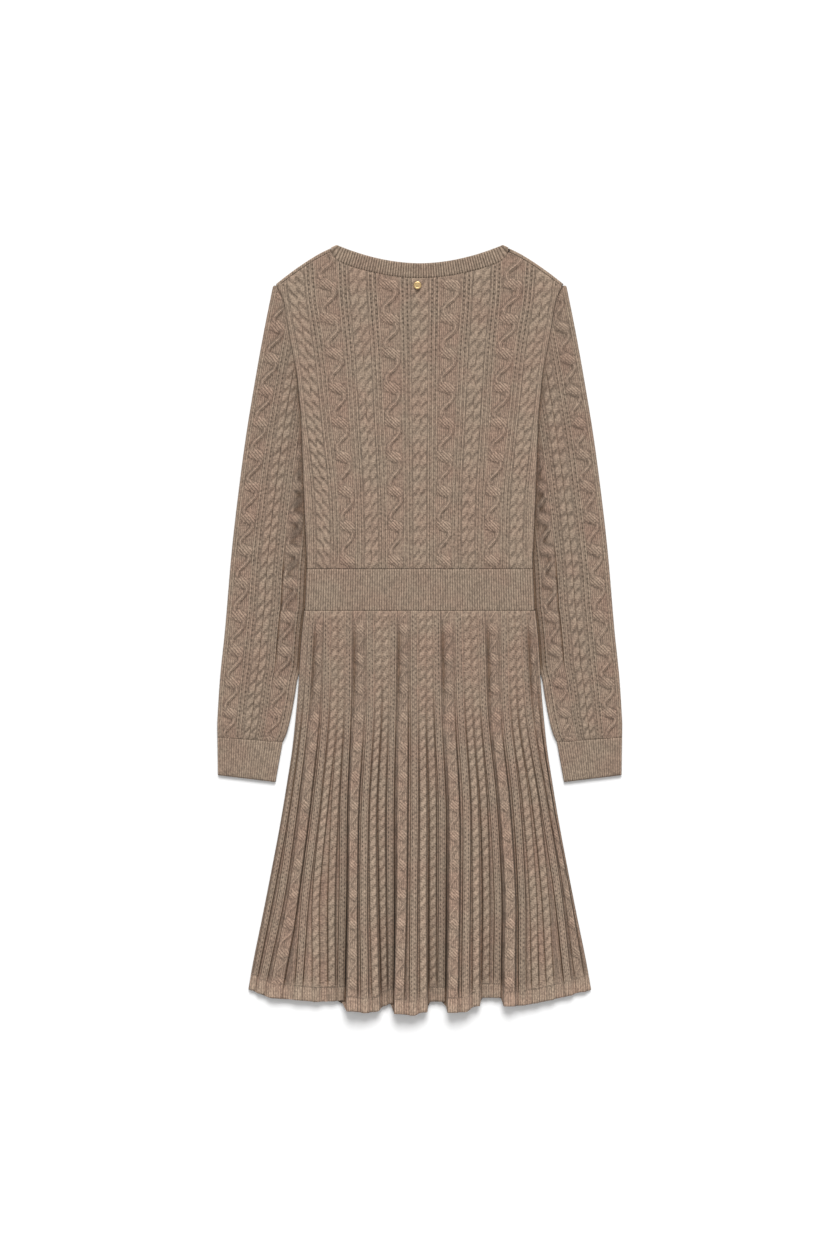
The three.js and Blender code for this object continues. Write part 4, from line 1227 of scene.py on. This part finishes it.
def skirt_shade(grid, height, below, cable, plateau):
    """Painted shade on the skirt's yarn: shadow lines at the ribs' feet, shade in grooves, folds and
    gathers.
    """
    left_wave = KINDS[grid["gap"]] == "wave"
    right_wave = KINDS[grid["gap"] + 1] == "wave"
    from_left, from_right = grid["from_left"], grid["from_right"]

    # Painted shadows: dark lines at the feet of the ribs, darkest to the right of a wave cable
    uneven = 0.16 * np.sin(grid["gap"] * 2.4 + grid["y"] * 0.02)
    width = lerp(0.5, 0.9, np.clip(grid["step"] / 12.0, 0, 1))
    after = foot_line(from_left, width * np.where(left_wave, 1.5, 1.0))
    after = (np.where(left_wave, 1.15, 0.75) + uneven) * after
    before = (np.where(right_wave, 0.5, 0.65) - uneven) * foot_line(from_right, width)
    crisp = smooth(70.0, 190.0, below + 18 * np.sin(grid["gap"] * 2.1))
    foot_shadows = np.maximum(after, before) * crisp * lerp(0.45, 1.0, cable)

    # Painted shade in grooves, with crests a little lighter
    cavity_shade = np.clip(cavity(height, 0.5, 0.1), -0.1, 0.4)
    # Painted shade in the valleys between folds, with the higher folds a little lighter
    fold_shade = np.clip(0.1 * (blurred(grid["lifted"], 150) - grid["lifted"]), -0.08, 0.42)
    # A painted light ridge just below the waistband seam
    seam = 0.14 * (1 - smooth(0.5, 2.0, below))
    # Painted shade beside the wave cables, in the gathers below the waist
    gather = smooth(6.0, 35.0, below) * (1 - smooth(70.0, 140.0, below))
    gather_shade = 0.42 * right_wave * np.exp(-(from_right / 3.5) ** 2)
    gather_shade = gather * (gather_shade + 0.16 * left_wave * np.exp(-(from_left / 3.0) ** 2))
    # Ropes a darker tone, and the hem band lighter
    tone = 0.1 * (KINDS[grid["number"]] == "rope") * plateau - 0.16 * (1 - cable)
    return np.clip(0.85 * foot_shadows + 0.8 * cavity_shade + fold_shade + gather_shade + tone - seam, -0.3, 0.97)


def skirt_back():
    """The back of the skirt: ribs with a cable on each, over folds that rise toward the hem."""
    grid = skirt_grid(SKIRT_ROWS[0], CROWN_STEPS)
    x, y, distance, half = grid["x"], grid["y"], grid["distance"], grid["half"]
    kind = KINDS[grid["number"]]
    is_rope, is_wave, is_ladder = (kind == name for name in ("rope", "wave", "ladder"))
    below = WAIST_BOTTOM - y
    from_hem = y - grid["hem"]
    cable = smooth(-5.0, 12.0, from_hem - HEM_BAND)
    waist = lerp(0.3, 1.0, smooth(0.0, 9.0, below))
    rise = lerp(0.7, 2.6, smooth(40.0, 330.0, below)) * lerp(0.6, 1.0, cable)

    # Ribs: a plateau between two feet, and the cable on it
    outside = np.minimum(grid["from_left"], grid["from_right"])
    plateau = 1 - smooth(-1.3, 0.4, outside)
    crossing = 0.8 * size("rope_length")
    rope_rise, rope_lay = rope(distance, y, half + 0.3, crossing, SKIRT_ROPE_HEIGHT)
    scale = half / SKIRT_WAVE_HALF
    wave_rise, wave_lay = wave_cable(distance, y, scale, SKIRT_WAVE, SKIRT_WAVE_HEIGHT)
    ribs = 0.5 * np.maximum(dome(distance, 1.3), dome(np.abs(distance) - half * 0.8, 1.3))
    on_rib = np.select([is_rope, is_wave, is_ladder], [rope_rise, wave_rise, ribs], 0.0)
    height = (rise * np.where(is_rope, 0.5, 0.75) + on_rib * cable) * plateau * waist
    lay = np.select([is_rope, is_wave & (wave_rise > 0)], [rope_lay, wave_lay], distance)
    stitch = np.where(cable > 0.3, lay, rib_stitch(x))

    inset = skirt_edge(y) - np.abs(x)
    height *= smooth(0.3, 3.0, inset)
    turn = 1.2 * (1.0 - rounded(inset, 2.0)) + 0.5 * (1 - smooth(0.0, 1.2, from_hem))
    upper = stacked(x, y, FACE + grid["lifted"] + height - turn)

    opened = 0.55 * is_ladder * plateau * cable * waist
    ladder = distance * EYELET_AT / np.maximum(half * 0.42, 0.8)
    ladder = np.select([(outside > 0.4) | is_wave, is_rope], [PLAIN_SIDE, -PLAIN_SIDE], ladder)
    shade = skirt_shade(grid, height, below, cable, plateau)
    # The relief by which the raised yarn is painted lighter: the cables' height, and the whole hem
    # band, which comes out lighter
    relief = height * 0.4 + 1.6 * (1 - cable)
    lower = skirt_grid(SKIRT_ROWS[1], UNDER_STEPS, 0.4)
    lower = stacked(lower["x"], lower["y"], UPPER + 0.8 * lower["lifted"])
    piece = panel_piece("skirt_back_knit", upper, lower, stacked(stitch, y, relief),
                        stacked(ladder, opened, shade), ["skirt_back"])


def skirt_front():
    """The front of the skirt, which lies flat under the back."""
    rows, columns, low_rows, skip = SKIRT_FRONT_GRID
    share = np.linspace(-1, 1, columns)
    top = WAIST_BOTTOM - SEAM_GAP
    hem = HEM_CORNER + 3 - 9 * (1 - share * share)
    y = spread(top, hem, rows)
    x = share * (skirt_edge(y) - 1.0)
    upper = stacked(x, y, WALL)
    low_y = spread(top, hem[::skip], low_rows)
    lower = stacked(share[::skip] * (skirt_edge(low_y) - 1.0), low_y, 0.0)
    piece = panel_piece("skirt_front_knit", upper, lower, stacked(x, y, 0.4),
                        np.zeros_like(upper), ["skirt_front"])


# Stud

def stud_piece():
    """The plain round stud below the neckband, turned from its profile."""
    low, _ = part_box("neck_stud")
    base = low[2] / MM
    turns = np.linspace(0, 2 * pi, STUD_STEPS, endpoint=False)[:, None]
    radius, height = np.array(STUD_PROFILE).T
    radius = radius * STUD_RADIUS
    points = stacked(STUD_X + radius * np.cos(turns), STUD_Y + radius * np.sin(turns),
                     base + height * STUD_HEIGHT)
    rows, columns = points.shape[:2]
    quads = grid_quads(rows, columns, 0, True, False)
    under, over = rows * columns, rows * columns + 1
    ends = [(STUD_X, STUD_Y, base), (STUD_X, STUD_Y, base + STUD_MIDDLE * STUD_HEIGHT)]
    triangles = []
    for row in range(rows):
        here, after = row * columns, (row + 1) % rows * columns
        triangles.append((here, under, after))
        triangles.append((here + columns - 1, after + columns - 1, over))
    points = np.concatenate([points.reshape(-1, 3), ends])
    make_piece("neck_stud_metal", points, quads, triangles, {}, "gold_metal", ["neck_stud"])


class DRESS_OT_bodice(bpy.types.Operator):
    """Makes the back and the front of the bodice."""

    bl_idname = "dress.bodice"
    bl_label = "Bodice"

    def execute(self, context):
        bodice_front()
        bodice_back()
        return {"FINISHED"}


class DRESS_OT_sleeves(bpy.types.Operator):
    """Makes both sleeves."""

    bl_idname = "dress.sleeves"
    bl_label = "Sleeves"

    def execute(self, context):
        for side in (-1, 1):
            sleeve_piece(side)
        return {"FINISHED"}


class DRESS_OT_bands(bpy.types.Operator):
    """Makes the rib bands: neckband, waistband and cuffs."""

    bl_idname = "dress.bands"
    bl_label = "Rib bands"

    def execute(self, context):
        neckband_piece()
        top, bottom = WAIST_TOP - SEAM_GAP / 2, WAIST_BOTTOM + SEAM_GAP / 2
        wall_ring("waistband_rib",
                  ((-WAIST_HALF_TOP, top), (WAIST_HALF_TOP, top)),
                  ((-WAIST_HALF_BOTTOM, bottom), (WAIST_HALF_BOTTOM, bottom)),
                  26, 1.0, (0.35, 0.0), ["waistband"])
        for side, name in ((-1, "cuff_left"), (1, "cuff_right")):
            seam = sorted((x * side, y - SEAM_GAP / 4) for x, y in (CUFF_OUTER, CUFF_INNER))
            end = sorted((x * side, y) for x, y in (CUFF_END_OUTER, CUFF_END_INNER))
            wall_ring(name + "_rib", seam, end, 22, 0.6, (0.0, 0.4), [name])
        return {"FINISHED"}


class DRESS_OT_skirt(bpy.types.Operator):
    """Makes the back and the front of the skirt."""

    bl_idname = "dress.skirt"
    bl_label = "Skirt"

    def execute(self, context):
        skirt_front()
        skirt_back()
        return {"FINISHED"}


class DRESS_OT_stud(bpy.types.Operator):
    """Makes the plain stud below the neckband."""

    bl_idname = "dress.stud"
    bl_label = "Stud"

    def execute(self, context):
        stud_piece()
        return {"FINISHED"}


class DRESS_OT_stage(bpy.types.Operator):
    """Lays the pale floor and sets up the light and the camera."""

    bl_idname = "dress.stage"
    bl_label = "Stage"

    def execute(self, context):
        scene = context.scene
        mesh = bpy.data.meshes.new("floor")
        corners = ((-1, -1), (1, -1), (1, 1), (-1, 1))
        mesh.from_pydata([(x * FLOOR_REACH, y * FLOOR_REACH, 0) for x, y in corners],
                         [], [(0, 1, 2, 3)])
        mesh.materials.append(floor_finish())
        floor = bpy.data.objects.new("floor", mesh)
        floor.location.z = -FLOOR_DROP
        scene.collection.objects.link(floor)

        world = bpy.data.worlds.new("studio")
        world.use_nodes = True
        background = world.node_tree.nodes["Background"]
        background.inputs["Color"].default_value = (1.0, 1.0, 1.0, 1.0)
        background.inputs["Strength"].default_value = SKY_STRENGTH
        scene.world = world

        key = bpy.data.lights.new("key", "SUN")
        key.energy = SUN_STRENGTH
        key.angle = radians(SUN_BREADTH)
        lamp = bpy.data.objects.new("key", key)
        lamp.rotation_euler = (*np.radians(SUN_LEAN), 0.0)
        scene.collection.objects.link(lamp)

        # The camera is so far up that it sees what the photo shows
        tall = PHOTO_ROWS * PHOTO_PIXEL * MM
        lens = bpy.data.cameras.new("camera")
        lens.lens = 85.0
        lens.sensor_width = 36.0
        lens.clip_end = 50.0
        camera = bpy.data.objects.new("camera", lens)
        camera.location = (PHOTO_MIDDLE[0] * MM, PHOTO_MIDDLE[1] * MM,
                           tall * lens.lens / lens.sensor_width)
        scene.collection.objects.link(camera)
        scene.camera = camera
        scene.view_settings.view_transform = "Standard"
        return {"FINISHED"}


class DRESS_PT_panel(bpy.types.Panel):
    """Lists the dress's operators."""

    bl_label = "Sweater Dress"
    bl_idname = "DRESS_PT_panel"
    bl_space_type = "VIEW_3D"
    bl_region_type = "UI"
    bl_category = "Dress"

    def draw(self, context):
        """A button for each operator."""
        for operator in OPERATORS:
            self.layout.operator(operator.bl_idname)


OPERATORS = (
    DRESS_OT_stage,
    DRESS_OT_bodice,
    DRESS_OT_sleeves,
    DRESS_OT_bands,
    DRESS_OT_skirt,
    DRESS_OT_stud,
)
CLASSES = (DressSizes, DressColours, *OPERATORS, DRESS_PT_panel)


def register():
    """Registers the classes, and the sizes and colours of a scene."""
    for item in CLASSES:
        bpy.utils.register_class(item)
    bpy.types.Scene.dress_sizes = PointerProperty(type=DressSizes)
    bpy.types.Scene.dress_colours = PointerProperty(type=DressColours)


def unregister():
    """Takes the classes, sizes and colours away again."""
    del bpy.types.Scene.dress_sizes
    del bpy.types.Scene.dress_colours
    for item in reversed(CLASSES):
        bpy.utils.unregister_class(item)


def main():
    """Makes the whole dress."""
    register()
    for operator in OPERATORS:
        group, name = operator.bl_idname.split(".")
        getattr(getattr(bpy.ops, group), name)()


if __name__ == "__main__":
    main()
